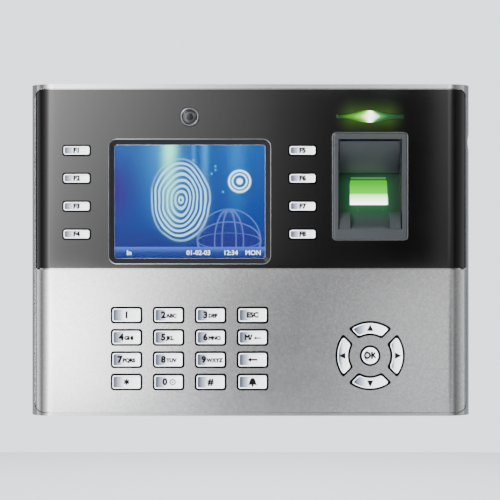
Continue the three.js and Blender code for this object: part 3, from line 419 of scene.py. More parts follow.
def use(tree, shared, **values):
    """Places a node group in a material."""
    placed = node(tree, "ShaderNodeGroup", {"node_tree": shared})
    for key, value in values.items():
        placed.inputs[key.replace("_", " ")].default_value = value
    return placed


def wire(source, shader, socket):
    """Feeds a value or colour to one of a shader's sockets."""
    shader.id_data.links.new(source, shader.inputs[socket])


def on_object(tree):
    """Object coordinates, in metres from the wall plane."""
    return tree.nodes.new("ShaderNodeTexCoord").outputs["Object"]


def places(tree):
    """The three object coordinates as separate values."""
    return node(tree, "ShaderNodeSeparateXYZ", Vector=on_object(tree)).outputs


# %% [markdown]
# ## Shared surface effects
# Two effects appear on many finishes. Grain is a fine even noise, which makes moulded plastic and
# metallic paint look real close up. Handling is a slow, blotchy noise, the faint film that hands
# leave, which makes a gloss uneven. Both are built once as groups and tuned where they are used.

# %% Grain and handling groups
grain, grain_in, grain_out = group(
    "grain", {"Size mm": 0.3, "Bump": 0.1},
    {"Value": "NodeSocketFloat", "Normal": "NodeSocketVector"})
grain_scale = maths(grain, "DIVIDE", 1 / MM, grain_in.outputs["Size mm"])
grain_noise = node(grain, "ShaderNodeTexNoise", Vector=on_object(grain), Scale=grain_scale,
                   Detail=3.0, Roughness=0.65).outputs[0]
grain_bump = node(grain, "ShaderNodeBump", Strength=grain_in.outputs["Bump"],
                  Distance=0.05 * MM, Height=grain_noise)
grain.links.new(grain_noise, grain_out.inputs["Value"])
grain.links.new(grain_bump.outputs[0], grain_out.inputs["Normal"])

handling, handling_in, handling_out = group(
    "handling", {"Low": 0.1, "High": 0.2}, {"Roughness": "NodeSocketFloat"})
film = node(handling, "ShaderNodeTexNoise", Vector=on_object(handling), Scale=28.0,
            Detail=4.0, Roughness=0.6).outputs[0]
film_spread = rise(handling, film, 0.35, 0.7, handling_in.outputs["Low"],
                   handling_in.outputs["High"])
handling.links.new(film_spread, handling_out.inputs["Roughness"])
print("groups:", [tree.name for tree in bpy.data.node_groups])

# %% The two groups on a shader


def grained(shader, size, bump):
    """Gives a shader the grain's bump, and returns the grain's value for its colour."""
    fine = use(shader.id_data, grain, Size_mm=size, Bump=bump)
    wire(fine.outputs["Normal"], shader, "Normal")
    return fine.outputs["Value"]


def filmed(shader, low, high):
    """Lets the handling film vary a shader's roughness between low and high."""
    film_over = use(shader.id_data, handling, Low=low, High=high)
    wire(film_over.outputs["Roughness"], shader, "Roughness")


# %% [markdown]
# ## Finishes
# Most finishes differ only in colour, gloss, metal and grain, so one function makes them from
# those few numbers. The grain shifts the colour a little and roughens the normal, and the handling
# film varies the gloss.

# %% One function for the plain finishes


def finish(name, dark, light, gloss, size, bump, metal=0.0, **sockets):
    """A material whose colour runs between dark and light with the grain."""
    material, tree, shader = principled(name, Metallic=metal, **sockets)
    fine = grained(shader, size, bump)
    filmed(shader, *gloss)
    wire(ramp(tree, fine, (0.3, dark), (0.7, light)), shader, "Base Color")
    return material


silver = finish("silver paint", (0.47, 0.47, 0.48), (0.62, 0.62, 0.63), (0.13, 0.15), 0.8, 0.04,
                1.0)
housing_silver = finish("housing silver", (0.40, 0.40, 0.41), (0.50, 0.50, 0.51), (0.14, 0.17),
                        0.3, 0.06, 1.0)
rear_black = finish("rear plastic", (0.012, 0.012, 0.014), (0.024, 0.024, 0.027), (0.42, 0.52),
                    0.5, 0.6)
bezel_black = finish("bezel black", (0.007, 0.0075, 0.009), (0.010, 0.011, 0.012), (0.3, 0.36),
                     0.4, 0.05, Specular_IOR_Level=0.06)
# Painted shade: the key caps' sides below the panel's face take this black, so the gaps round the
# keys read dark.
key_gap_shade = finish("key gap shade", (0.004, 0.004, 0.005), (0.007, 0.007, 0.008), (0.5, 0.6), 0.5, 0.05,
                  Specular_IOR_Level=0.03)
ring_metal = finish("turned ring", (0.10, 0.10, 0.11), (0.15, 0.15, 0.16), (0.22, 0.3), 0.2, 0.05,
                    1.0)
zinc = finish("zinc plate", (0.42, 0.43, 0.44), (0.60, 0.61, 0.63), (0.28, 0.42), 1.8, 0.15, 1.0)
screw_steel = finish("screw steel", (0.30, 0.30, 0.31), (0.42, 0.42, 0.43), (0.25, 0.35), 0.3, 0.1,
                     1.0)
rubber = finish("cover rubber", (0.010, 0.010, 0.011), (0.020, 0.020, 0.022), (0.6, 0.72), 0.4, 0.5)
silicone = finish("silicone", (0.20, 0.20, 0.21), (0.26, 0.26, 0.27), (0.55, 0.65), 0.6, 0.2)
mask_green = finish("solder mask", (0.006, 0.08, 0.028), (0.012, 0.14, 0.05), (0.2, 0.3), 1.4, 0.15)
terminal_green = finish("terminal green", (0.02, 0.2, 0.07), (0.03, 0.28, 0.1), (0.4, 0.5), 0.5,
                        0.2)
tinned = finish("tinned steel", (0.5, 0.5, 0.5), (0.64, 0.64, 0.64), (0.22, 0.32), 0.8, 0.1, 1.0)
legend_black = finish("legend ink", (0.003, 0.003, 0.004), (0.005, 0.005, 0.006), (0.45, 0.55),
                      0.3, 0.0, Specular_IOR_Level=0.03)
legend_white = finish("screen text", (0.02, 0.02, 0.02), (0.03, 0.03, 0.03), (0.4, 0.5), 0.5, 0.0,
                      Emission_Color=(0.8, 0.9, 1, 1), Emission_Strength=2.6)
print("finishes:", len(bpy.data.materials))

# %% [markdown]
# Key caps are pearl plastic. Each carries painted shade: the left side of its face goes blue-grey
# and turns white towards the right. Each cap carries a number, nought at its left edge and one at
# its right, and the painted shade follows it. The raised rim is kept free of the painted shade,
# which the depth of the surface tells.

# %% Pearl with painted shade on one side
pearl, tree, shader = principled("pearl key", Metallic=0.05, Coat_Weight=0.25, Coat_Roughness=0.08)
filmed(shader, 0.2, 0.26)
grained(shader, 0.5, 0.02)
across_cap = node(tree, "ShaderNodeAttribute", {"attribute_name": "across"}).outputs["Fac"]
RIM_Y, DISHED_Y = FRONT - 0.93, FRONT - 0.75
# Painted shade: blue-grey at each cap's left, turning white towards its right, kept off the rim.
dished = rise(tree, places(tree)[1], RIM_Y * MM, DISHED_Y * MM)
painted_shade_tone = ramp(tree, across_cap, (0.0, (0.030, 0.036, 0.055)), (0.12, (0.045, 0.052, 0.078)),
                 (0.28, (0.24, 0.26, 0.31)), (0.42, (0.74, 0.74, 0.76)), (1.0, (0.93, 0.93, 0.93)))
wire(blend(tree, dished, (0.90, 0.91, 0.93, 1), painted_shade_tone), shader, "Base Color")
print("key material:", pearl.name)

# %% [markdown]
# ## Light with a place
# Three things on the front are lit from inside: the indicator, the sensor glass, and the plastic
# round them, which catches a green halo. A glow that fades with distance is a mask, so it is one
# group: it measures the distance from a point, stretched by a width and a height.

# %% The halo group
halo, halo_in, halo_out = group(
    "halo", {"X": 0.0, "Z": 0.0, "Half width": 0.01, "Half height": 0.01, "Fade": 0.01},
    {"Mask": "NodeSocketFloat"})
halo_place = places(halo)


def beyond(axis, centre, half):
    """How far past a half width a point lies, and zero inside it."""
    offset = maths(halo, "ABSOLUTE", maths(halo, "SUBTRACT", halo_place[axis],
                                           halo_in.outputs[centre]))
    return maths(halo, "MAXIMUM", maths(halo, "SUBTRACT", offset, halo_in.outputs[half]), 0.0)


halo_far = length(halo, beyond(0, "X", "Half width"), beyond(2, "Z", "Half height"))
halo_near = maths(halo, "SUBTRACT", 1.0, maths(halo, "DIVIDE", halo_far, halo_in.outputs["Fade"]))
halo_mask = maths(halo, "POWER", maths(halo, "MAXIMUM", halo_near, 0.0), 2.0)
halo.links.new(halo_mask, halo_out.inputs["Mask"])

indicator_low, indicator_high = box_mm("indicator_lens")
indicator_x, indicator_z = middle_of("indicator_lens")
glass_z = middle_of("sensor_window")[1]


def glow(tree, x, z, half_width, half_height, fade):
    """Places the halo group, with its sizes given in millimetres."""
    sizes = {"X": x, "Z": z, "Half_width": half_width, "Half_height": half_height, "Fade": fade}
    return use(tree, halo, **{key: value * MM for key, value in sizes.items()}).outputs["Mask"]


print("indicator at", round(indicator_x, 2), round(indicator_z, 2), "mm")

# %% [markdown]
# The upper panel is a clear, deep gloss black. The bay's plastic is slate, with painted shade deep
# in the tub, where its colour goes almost black, and a painted green glow where the sensor lights
# it. In both the colour of the glow follows the halo mask and the strength is a plain number on the
# shader.

# %% Gloss black and slate
BLACK = (0, 0, 0, 1)
gloss_black, tree, shader = principled("gloss black", Base_Color=(0.0003, 0.0003, 0.0004, 1),
                                       Specular_IOR_Level=0.5, Emission_Strength=1.0)
filmed(shader, 0.05, 0.08)
# Painted light: a green glow round the indicator, given as emission on the panel.
mask = glow(tree, indicator_x, indicator_z, 8, 0.5, 10)
wire(blend(tree, mask, BLACK, (0.06, 0.14, 0.012, 1)), shader, "Emission Color")

slate, tree, shader = principled("slate plastic", Emission_Strength=1.0, Specular_IOR_Level=0.3)
fine = grained(shader, 0.4, 0.1)
filmed(shader, 0.26, 0.34)
x, y, z = places(tree)


def fades(value, start, end):
    """Zero before start and one past end, in millimetres."""
    return rise(tree, value, start * MM, end * MM)


inside = fades(y, FRONT + 0.6, FRONT + 4)
# Painted shade: inside the tub, between the lip and the ceiling, the colour goes almost black.
painted_recess_shade = times(tree, inside, fades(z, 9.8, 18), fades(z, 36.6, 36.1))
plain = ramp(tree, fine, (0.3, (0.013, 0.015, 0.017)), (0.7, (0.018, 0.021, 0.024)))
wire(blend(tree, painted_recess_shade, plain, (0.001, 0.004, 0.002, 1)), shader, "Base Color")
# Painted light: a green glow round the sensor glass, given as emission on the plastic.
mask = times(tree, inside, glow(tree, indicator_x, glass_z - 1, 6.5, 4.5, 12))
wire(blend(tree, mask, BLACK, (0.010, 0.15, 0.042, 1)), shader, "Emission Color")
print("bay materials:", gloss_black.name, slate.name)

# %% [markdown]
# The indicator is a light pipe: white-hot over its lamp, green towards the tips. The sensor glass
# shows the lit prism behind it, green above a whiter band. Both are colour ramps across the piece.

# %% Lit pieces
indicator_light, tree, shader = principled(
    "indicator light", Base_Color=(0.001, 0.003, 0.001, 1), Roughness=0.15,
    Specular_IOR_Level=0.2, Emission_Strength=4.0)
x, y, z = places(tree)
CORE_HALF_HEIGHT, RAMP_LENGTH = 1.9, 31.2
off_axis = measured(tree, z, indicator_z * MM, CORE_HALF_HEIGHT * MM)
spread = maths(tree, "ADD", times(tree, off_axis, off_axis), 1.0)
sideways = measured(tree, x, indicator_x * MM, RAMP_LENGTH * MM)
reach = maths(tree, "MULTIPLY_ADD", sideways, spread, 0.5)
wire(ramp(tree, reach, (0.0, (0.001, 0.008, 0.001)), (0.08, (0.005, 0.035, 0.001)),
          (0.24, (0.033, 0.15, 0.003)), (0.35, (0.12, 0.33, 0.03)), (0.43, (0.6, 0.75, 0.4)),
          (0.47, (1, 1, 1)), (0.54, (1, 1, 1)), (0.59, (0.5, 0.7, 0.5)),
          (0.66, (0.03, 0.13, 0.03)), (0.76, (0.004, 0.045, 0.008)),
          (0.9, (0.001, 0.018, 0.004)), (1.0, (0.001, 0.006, 0.002))), shader, "Emission Color")

sensor_light, tree, shader = principled(
    "sensor light", Base_Color=(0.001, 0.003, 0.001, 1), Roughness=0.05,
    Specular_IOR_Level=0.3, Emission_Strength=3.0)
height = rise(tree, places(tree)[2], (glass_z - 5.8) * MM, (glass_z + 5.2) * MM)
wire(ramp(tree, height, (0.0, (1.9, 2.2, 1.9)), (0.25, (1.0, 1.5, 1.0)),
          (0.48, (0.38, 0.85, 0.34)), (0.54, (0.06, 0.45, 0.01)), (1.0, (0.02, 0.26, 0.002))),
     shader, "Emission Color")
print("lit materials:", indicator_light.name, sensor_light.name)

# %% [markdown]
# ## Case sections
# Front housing and panels share one section: a bar with both long front edges rolled. Drawing it
# once with an inset keeps the skins parallel. A block with two bevelled edges gives an even roll,
# and is lighter than a curve.

# %% The rolled bar


def bar(name, inset, back):
    """The case's section moved inwards by inset, over the full height."""
    low = [case_low[SIDE] + inset, FRONT + inset, case_low[UP]]
    high = [case_high[SIDE] - inset, back, case_high[UP]]
    made = block(name, low, high)
    front = (FRONT + inset + 0.01) * MM
    vertical = runs_along(UP)
    return round_edges(made, lambda edge: vertical(edge) and edge.verts[0].co.y < front,
                       EDGE_ROLL - inset, 20)


def rounded_ends(name, low, high, corner, upwards=None):
    """A block run along Y with rounded corners: all four, or only the upper or lower pair."""
    along = runs_along(DEEP)
    middle = (low[UP] + high[UP]) / 2 * MM

    def wanted(edge):
        return along(edge) and (upwards is None or (edge.verts[0].co.z > middle) == upwards)

    return round_edges(block(name, low, high), wanted, corner, 8)


def outline(name, node, grow, corner, front=TOOL_FRONT, back=TOOL_BACK):
    """A rounded block round a node's outline, grown on every side."""
    low, high = box_mm(node)
    return rounded_ends(name, (low[SIDE] - grow, front, low[UP] - grow),
                        (high[SIDE] + grow, back, high[UP] + grow), corner)


panel_low = [upper_low[SIDE], TOOL_FRONT, lower_low[UP]]
panel_high = [upper_high[SIDE], SPLIT, upper_high[UP]]
print("panels reach up to", [round(value, 2) for value in panel_high], "mm")

# %% [markdown]
# ## Openings
# A panel and the wall behind it share their openings, so one function makes the cutting tools and
# is called for each. Key openings follow the caps, which the frame gives with their hidden
# flanges.

# %% Tools for the openings
FUNCTION_KEYS = [f"key_f{number}" for number in range(1, 9)]
PAD_KEYS = [f"key_{name}" for name in "1 2 3 esc 4 5 6 menu 7 8 9 back star 0 hash bell".split()]
FUNCTION_GAP = 0.55
PAD_GAP = 0.75
CAP_TRIM = 0.16


def cap_box(key, grow=0.0):
    """The cap's corners in X and Z, without its flange."""
    low, high = box_mm(key)
    edge = KEY_OVERHANG - grow
    return (low[SIDE] + edge, low[UP] + edge), (high[SIDE] - edge, high[UP] - edge)


def key_tools(keys, grow, corner):
    """One tool for a set of key openings."""
    tools = []
    for key in keys:
        (x0, z0), (x1, z1) = cap_box(key, grow)
        tools.append(rounded_block("tool", (x0, RANGE[0], z0), (x1, RANGE[1], z1), corner, 4))
    return gathered("tool", tools)


nav_x, nav_z = middle_of("key_ok")
ARROW_INNER, ARROW_OUTER, ARROW_END, ARROW_CORNER, ARROW_GAP = 10.3, 15.2, 2.6, 1.3, 0.9
OK_RADIUS, OK_GAP = 3.97, 0.85


def arrow_block(name, heading, grow, y_front, y_back):
    """A quarter of the arrow ring. Its ends run parallel to the diagonals, with soft corners."""
    inner, outer, end = ARROW_INNER - grow, ARROW_OUTER + grow, ARROW_END - grow

    def on_end(side, radius, past=0.0):
        diagonal = heading + side * math.pi / 4
        beside = diagonal - side * math.pi / 2
        along = math.sqrt(radius ** 2 - end ** 2) + past
        return (along * math.cos(diagonal) + end * math.cos(beside),
                along * math.sin(diagonal) + end * math.sin(beside))

    def arc(radius, sense, steps):
        sweep = math.pi / 4 - math.asin(end / radius) - ARROW_CORNER / radius
        angles = [heading + sense * sweep * (2 * step / steps - 1) for step in range(steps + 1)]
        return [(radius * math.cos(angle), radius * math.sin(angle)) for angle in angles]

    far, near = arc(outer, 1, 24), arc(inner, -1, 18)
    edge = [*far, *swept(far[-1], on_end(1, outer), on_end(1, outer, -ARROW_CORNER), 6)[1:],
            *swept(on_end(1, inner, ARROW_CORNER), on_end(1, inner), near[0], 6)[:-1],
            *near, *swept(near[-1], on_end(-1, inner), on_end(-1, inner, ARROW_CORNER), 6)[1:],
            *swept(on_end(-1, outer, -ARROW_CORNER), on_end(-1, outer), far[0], 6)[:-1]]
    points = [(nav_x + x, y_front, nav_z + z) for x, z in edge]
    return prism(name, points, (0, y_back - y_front, 0))


print("arrow ring round", round(nav_x, 2), round(nav_z, 2), "mm")

# %% [markdown]
# The indicator's opening and its lens share a spindle outline: a raised cosine between two small
# round tips. It needs only a formula, so it is drawn point by point and pushed out.

# %% The spindle outline
SPINDLE_REACH, SPINDLE_TIP, SPINDLE_BULGE = 14.75, 0.9, 1.55


def spindle(name, grow, y_front, y_back):
    """The indicator's outline, grown evenly, run from front to back."""
    upper = []
    steps = 26
    for step in range(steps + 1):
        along = SPINDLE_REACH * (1 - 2 * step / steps)
        swell = (1 + math.cos(math.pi * along / SPINDLE_REACH)) / 2
        upper.append((along, SPINDLE_TIP + grow + SPINDLE_BULGE * swell))
    tip = [(math.cos(angle), math.sin(angle))
           for angle in (math.radians(90 - 22.5 * step) for step in range(1, 8))]
    left = [(-SPINDLE_REACH - x * (SPINDLE_TIP + grow), z * (SPINDLE_TIP + grow)) for x, z in tip]
    right = [(-x, -z) for x, z in left]
    lower = [(-x, -z) for x, z in upper]
    points = [(indicator_x + x, y_front, indicator_z + z) for x, z in upper + left + lower + right]
    return prism(name, points, (0, y_back - y_front, 0))


print("indicator length", round(2 * (SPINDLE_REACH + SPINDLE_TIP), 2), "mm")

# %% The openings of each panel
RING = 4.35
camera_low, camera_high = box_mm("camera_ring")
camera_x, camera_z = middle_of("camera_ring")


def upper_holes():
    """Tools for the camera, the indicator and the function keys."""
    return [drum("tool", RING + GAP, *RANGE, camera_x, camera_z, 48),
            spindle("tool", GAP, *RANGE), key_tools(FUNCTION_KEYS, FUNCTION_GAP, 1.3)]


def lower_holes():
    """Tools for the keypad, the four arrow keys and the round key."""
    arrows = [arrow_block("tool", quarter * math.pi / 2, ARROW_GAP, *RANGE) for quarter in range(4)]
    return [key_tools(PAD_KEYS, PAD_GAP, 1.5), gathered("tool", arrows),
            drum("tool", OK_RADIUS + OK_GAP, *RANGE, nav_x, nav_z, 40)]


print("camera hole", round(2 * (RING + GAP), 2), "mm wide")

# %% [markdown]
# ## The two front panels
# Each panel is trimmed from the rolled sheet: a rounded block gives the outline, the outer bar the
# front skin and the inner bar the back. The openings are cut and every edge is broken by a small
# bevel, which catches the thin bright lines round the openings.

# %% Panel recipe


def panel(name, bottom, top, upwards, holes):
    """A front panel with its openings. Only its upper or its lower corners are round."""
    made = rounded_ends(name, (panel_low[SIDE], TOOL_FRONT, bottom),
                        (panel_high[SIDE], panel_high[DEEP], top), FASCIA_CORNER, upwards)
    combine(made, "INTERSECT", bar("tool", 0, SPLIT + 5))
    combine(made, "DIFFERENCE", bar("tool", FASCIA, SPLIT + 10), *holes)
    return soften(made, 0.12, 2)


# %% Both panels
upper = panel("upper_panel", upper_low[UP], panel_high[UP], True,
              [outline("tool", "screen_bezel", GAP, 3.9), outline("tool", "sensor_bay", GAP, 2.0),
               *upper_holes()])
settle(upper, "root", gloss_black, "gloss_black", "upper_fascia")
lower = panel("lower_panel", panel_low[UP], lower_high[UP], False, lower_holes())
settle(lower, "root", silver, "silver_panel", "lower_fascia")

# %% [markdown]
# ## Front housing
# The housing is a hollow shell round the panels. Its front has a shallow pocket that leaves a dark
# seam, its wall carries the same openings as the panels, and a small scoop in the right edge gives
# a fingernail room. Bosses inside take the four case screws.

# %% Shell and pocket
INSIDE_FRONT = FASCIA + GAP + SHELL_WALL
WALL_BACK = FRONT + INSIDE_FRONT
housing = bar("front_shell", 0, SPLIT)
pocket = rounded_ends("pocket", (panel_low[SIDE] - SEAM, TOOL_FRONT, panel_low[UP] - SEAM),
                      (panel_high[SIDE] + SEAM, upper_high[DEEP] + 2 * GAP, panel_high[UP] + SEAM),
                      FASCIA_CORNER + SEAM)
combine(pocket, "DIFFERENCE", bar("tool", FASCIA + GAP, SPLIT + 5))
cavity = bar("tool", INSIDE_FRONT, SPLIT + 5)
inner_x, inner_z = case_high[SIDE] - SHELL_WALL, case_high[UP] - SHELL_WALL
combine(cavity, "INTERSECT", block("tool", (-200, -60, -inner_z), (200, 0, inner_z)))
combine(housing, "DIFFERENCE", pocket, cavity,
        block("tool", (-inner_x, FRONT + EDGE_ROLL, -inner_z), (inner_x, SPLIT + 5, inner_z)))
print("front shell:", len(housing.data.polygons), "faces")

# %% Openings in the wall
window_low, window_high = box_mm("screen_window")
VIEW_EDGE = 2.35
view_low = (bezel_low[SIDE] + VIEW_EDGE, bezel_low[UP] + VIEW_EDGE)
view_high = (bezel_high[SIDE] - VIEW_EDGE, bezel_high[UP] - VIEW_EDGE)
BAY_MOUTH = 29.6
BAY_WALL = 1.5
mouth_low, mouth_high = 9.6, 51.5
bay_x = middle_of("sensor_bay")[0]
tub_half = BAY_MOUTH / 2 + BAY_WALL
tub_hole = block("tool", (bay_x - tub_half - GAP, FRONT, mouth_low - BAY_WALL - GAP),
                 (bay_x + tub_half + GAP, TOOL_BACK, mouth_high + BAY_WALL + GAP))


def notch_tool(front):
    """The round tool that scoops the case's right edge."""
    return drum("tool", NOTCH_RADIUS, front, 5, case_high[SIDE] - NOTCH_DEEP + NOTCH_RADIUS,
                NOTCH_Z, 160)


combine(housing, "DIFFERENCE",
        outline("tool", "screen_window", GAP, 1.8, FRONT, window_high[DEEP] + GAP),
        outline("tool", "screen_bezel", -VIEW_EDGE, 1.25, FRONT, -30), tub_hole,
        *upper_holes(), *lower_holes(), notch_tool(TOOL_FRONT))
print("front shell with its openings:", len(housing.data.polygons), "faces")

# %% Bosses and board posts
screw_places = [middle_of(f"case_screw_{number}") for number in range(1, 5)]
BOSS_RADIUS, PILOT_RADIUS, PILOT_END = 3.5, 1.8, -26.3
POST_RADIUS, POST_END = 2.5, -29.9
for x, z in screw_places:
    combine(housing, "UNION", drum("tool", BOSS_RADIUS, WALL_BACK - 1, SPLIT, x, z, 24))
    combine(housing, "DIFFERENCE", drum("tool", PILOT_RADIUS, PILOT_END, 0, x, z, 16))
for x in (-80, 80):
    for z in (-64.5, 64.5):
        combine(housing, "UNION", drum("tool", POST_RADIUS, WALL_BACK - 1, POST_END, x, z, 20))
soften(housing, 0.25, 3)
settle(housing, "root", housing_silver, "silver_housing", "front_housing")

# %% [markdown]
# ## Screen
# A bevelled frame leads down to the glass. It is a rounded block whose front and back faces are
# inset to the same shape and bridged, so the slope is one clean band. The left and top slopes face
# away from the light and go black while the others turn grey, with no extra material.

# %% Bezel
BEZEL_RIM, BEZEL_DEEP = 0.15, 1.4
bezel = rounded_ends("screen_frame", bezel_low, bezel_high, 3.6)
pick(bezel, "FACE", faces_towards((0, -1, 0)))
bpy.ops.mesh.inset(thickness=BEZEL_RIM * MM)
bpy.ops.mesh.inset(thickness=(VIEW_EDGE - BEZEL_RIM) * MM, depth=-BEZEL_DEEP * MM)
put_down()
pick(bezel, "FACE", faces_towards((0, 1, 0)))
bpy.ops.mesh.inset(thickness=VIEW_EDGE * MM)
put_down()
pick(bezel, "FACE", lambda face: abs(face.normal.y) > 0.99 and len(face.verts) > 8)
bpy.ops.mesh.delete(type="FACE")
bpy.ops.mesh.select_mode(type="EDGE")
bpy.ops.mesh.select_non_manifold()
bpy.ops.mesh.bridge_edge_loops()
put_down()
soften(bezel, 0.12, 2)
settle(bezel, "root", bezel_black, "bezel_black", "screen_bezel")

# %% Window glass
screen_glass, tree, shader = principled("screen glass", Base_Color=(0.98, 0.99, 1, 1),
                                        IOR=1.1, Transmission_Weight=1.0)
filmed(shader, 0.01, 0.04)
window = rounded_ends("screen_glass", window_low, window_high, 1.5)
soften(window, 0.15, 2)
settle(window, "root", screen_glass, "screen_glass", "screen_window")

# %% [markdown]
# ## What the screen shows
# The display is a picture of its own: light falling in columns through blue, a fingerprint made of
# pale ridges, a wire globe and a target of rings. It is drawn by mathematics on the display's
# coordinates, measured from the middle of the view in units of half its width.

# %% Picture coordinates
picture, tree, shader = principled("display picture", Base_Color=(0.001, 0.001, 0.002, 1),
                                   Roughness=0.5, Specular_IOR_Level=0.0, Emission_Strength=3.0)
HALF_VIEW = (view_high[0] - view_low[0]) / 2
x, y, z = places(tree)
u = measured(tree, x, screen_x * MM, HALF_VIEW * MM)
v = measured(tree, z, screen_z * MM, HALF_VIEW * MM)


def line(value, centre, width):
    """A soft hump of height one at a centre, so on a distance it draws a thin ring."""
    offset = measured(tree, value, centre, width)
    return maths(tree, "EXPONENT", times(tree, offset, offset, -1.0))


def range_from(centre_u, centre_v, stretch=1.0):
    """Distance from a point, with the height divided by stretch."""
    return length(tree, maths(tree, "SUBTRACT", u, centre_u), measured(tree, v, centre_v, stretch))


def within(value, radius, soft=0.02):
    """One inside a radius and zero outside."""
    return rise(tree, value, radius, radius - soft)


def brightest(*masks):
    """The highest of several masks at each point."""
    top = masks[0]
    for mask in masks[1:]:
        top = maths(tree, "MAXIMUM", top, mask)
    return top


def over(below, mask, strength, colour):
    """Lays a colour over a picture where a mask is bright."""
    return blend(tree, times(tree, mask, strength), below, colour)


print("half the picture's width:", round(HALF_VIEW, 2), "mm")

# %% Columns of light
sky = ramp(tree, maths(tree, "MULTIPLY_ADD", v, 0.65, 0.5),
           (0.0, (0.010, 0.010, 0.075)), (0.35, (0.004, 0.022, 0.13)), (1.0, (0.006, 0.045, 0.18)))
falling = rise(tree, v, -0.45, 0.65)
columns = sky
for centre, width, colour, strength in (
        (-0.34, 0.26, (0.012, 0.13, 0.33, 1), 0.9), (-0.27, 0.09, (0.16, 0.75, 0.52, 1), 1.0),
        (0.05, 0.03, (0.02, 0.15, 0.36, 1), 0.6), (0.20, 0.05, (0.02, 0.16, 0.38, 1), 0.8),
        (0.62, 0.12, (0.010, 0.10, 0.30, 1), 0.8)):
    columns = over(columns, times(tree, line(u, centre, width), falling), strength, colour)
violet = times(tree, line(u, -1.0, 0.25), line(v, 0.15, 0.4))
columns = over(columns, violet, 0.8, (0.018, 0.003, 0.09, 1))
print("picture with its columns:", len(tree.nodes), "nodes")

# %% Fingerprint ridges
RIDGES, SWIRL = 128.0, 16.0
swirl = node(tree, "ShaderNodeTexNoise", Vector=on_object(tree), Scale=60.0, Detail=1.5).outputs[0]
finger_far = range_from(-0.12, 0.02, 1.35)
ridge_place = maths(tree, "ADD", times(tree, finger_far, RIDGES), times(tree, swirl, SWIRL))
ridges = rise(tree, maths(tree, "SINE", ridge_place), -0.1, 0.5)
columns = over(columns, within(finger_far, 0.47, 0.12), 0.35, (0.03, 0.09, 0.22, 1))
columns = over(columns, times(tree, ridges, within(finger_far, 0.42, 0.06)), 0.85,
               (0.30, 0.62, 0.80, 1))
print("picture with its fingerprint:", len(tree.nodes), "nodes")

# %% Globe, target and small lights
GLOBE = (0.52, -0.52)
GLOBE_RADIUS = 0.42
globe_far = range_from(*GLOBE)
globe = line(globe_far, GLOBE_RADIUS, 0.008)
for stretch in (0.25, 0.6):
    globe = brightest(globe, line(range_from(*GLOBE, stretch), GLOBE_RADIUS, 0.012))
for lean in (2.2, 4.5):
    parallel = line(range_from(*GLOBE, lean), GLOBE_RADIUS / lean, 0.008)
    globe = brightest(globe, times(tree, within(globe_far, GLOBE_RADIUS), parallel))
columns = over(columns, within(globe_far, GLOBE_RADIUS, 0.1), 0.35, (0.016, 0.008, 0.10, 1))
columns = over(columns, globe, 0.6, (0.08, 0.13, 0.36, 1))
target_far = range_from(0.66, 0.27)
target = brightest(line(target_far, 0.14, 0.012), line(target_far, 0.095, 0.01),
                   within(target_far, 0.05))
columns = over(columns, target, 1.0, (0.55, 0.95, 1.0, 1))
for spot_u, spot_v in ((0.34, 0.47), (0.34, 0.42), (0.29, 0.37), (0.44, 0.13), (0.05, 0.55)):
    sides = [within(maths(tree, "ABSOLUTE", maths(tree, "SUBTRACT", value, spot)), 0.02)
             for value, spot in ((u, spot_u), (v, spot_v))]
    columns = over(columns, times(tree, *sides), 1.0, (0.03, 0.35, 0.6, 1))
print("picture with its globe and target:", len(tree.nodes), "nodes")

# %% Status bar
bar_mask = rise(tree, v, -0.595, -0.605)
bar_tone = ramp(tree, rise(tree, v, -0.75, -0.6), (0.0, (0.006, 0.012, 0.08)),
                (0.5, (0.010, 0.025, 0.13)), (1.0, (0.042, 0.08, 0.35)))
wire(blend(tree, bar_mask, columns, bar_tone), shader, "Emission Color")
display_face = box_mm("lcd_module")[0][DEEP]
PICTURE_Y = (display_face + 0.05, display_face + 0.25)
display = outline("display_picture", "screen_bezel", -VIEW_EDGE - 0.1, 1.1, *PICTURE_Y)
soften(display, 0)
settle(display, "root", picture, "screen_glass")

# %% [markdown]
# ## Lettering
# Key legends and the status line are text made into thin meshes. Text is created flat, so it is
# turned to face the front, moved by its own middle, and its place is applied to the mesh.

# %% Text helper


def letters(text, x, z, size, y, thick=0.04, weight=0.0, anchor="CENTER"):
    """Text facing the front, set into the surface at depth y. A bevel gives the strokes weight."""
    bpy.ops.object.select_all(action="DESELECT")
    bpy.ops.object.text_add(location=(x * MM, (y - thick) * MM, z * MM),
                            rotation=(math.pi / 2, 0, 0))
    made = bpy.context.object
    made.data.body = text
    made.data.size = size * MM
    made.data.align_x, made.data.align_y = anchor, "CENTER"
    made.data.extrude = thick * MM
    made.data.bevel_depth = weight * MM
    made.data.bevel_resolution = 0
    made.data.resolution_u = 3
    bpy.ops.object.convert(target="MESH")
    return named("letters")


status = gathered("status_text", [
    letters(text, screen_x + shift, view_low[1] + 2.6, 3.1, PICTURE_Y[0], weight=weight,
            anchor=anchor)
    for text, shift, weight, anchor in (
        ("In", -29.5, 0.05, "LEFT"), ("01-02-03", 4, 0.03, "CENTER"),
        ("12:34", 19, 0.03, "CENTER"), ("MON", 29.5, 0.03, "CENTER"))])
settle(status, "root", legend_white, "screen_glass")

# %% [markdown]
# ## Camera
# A metal ring holds a small domed lens over a dark throat. Ring and lens are round all the way, so
# each is a profile turned about the camera's axis, and the throat is the ring's own bore.

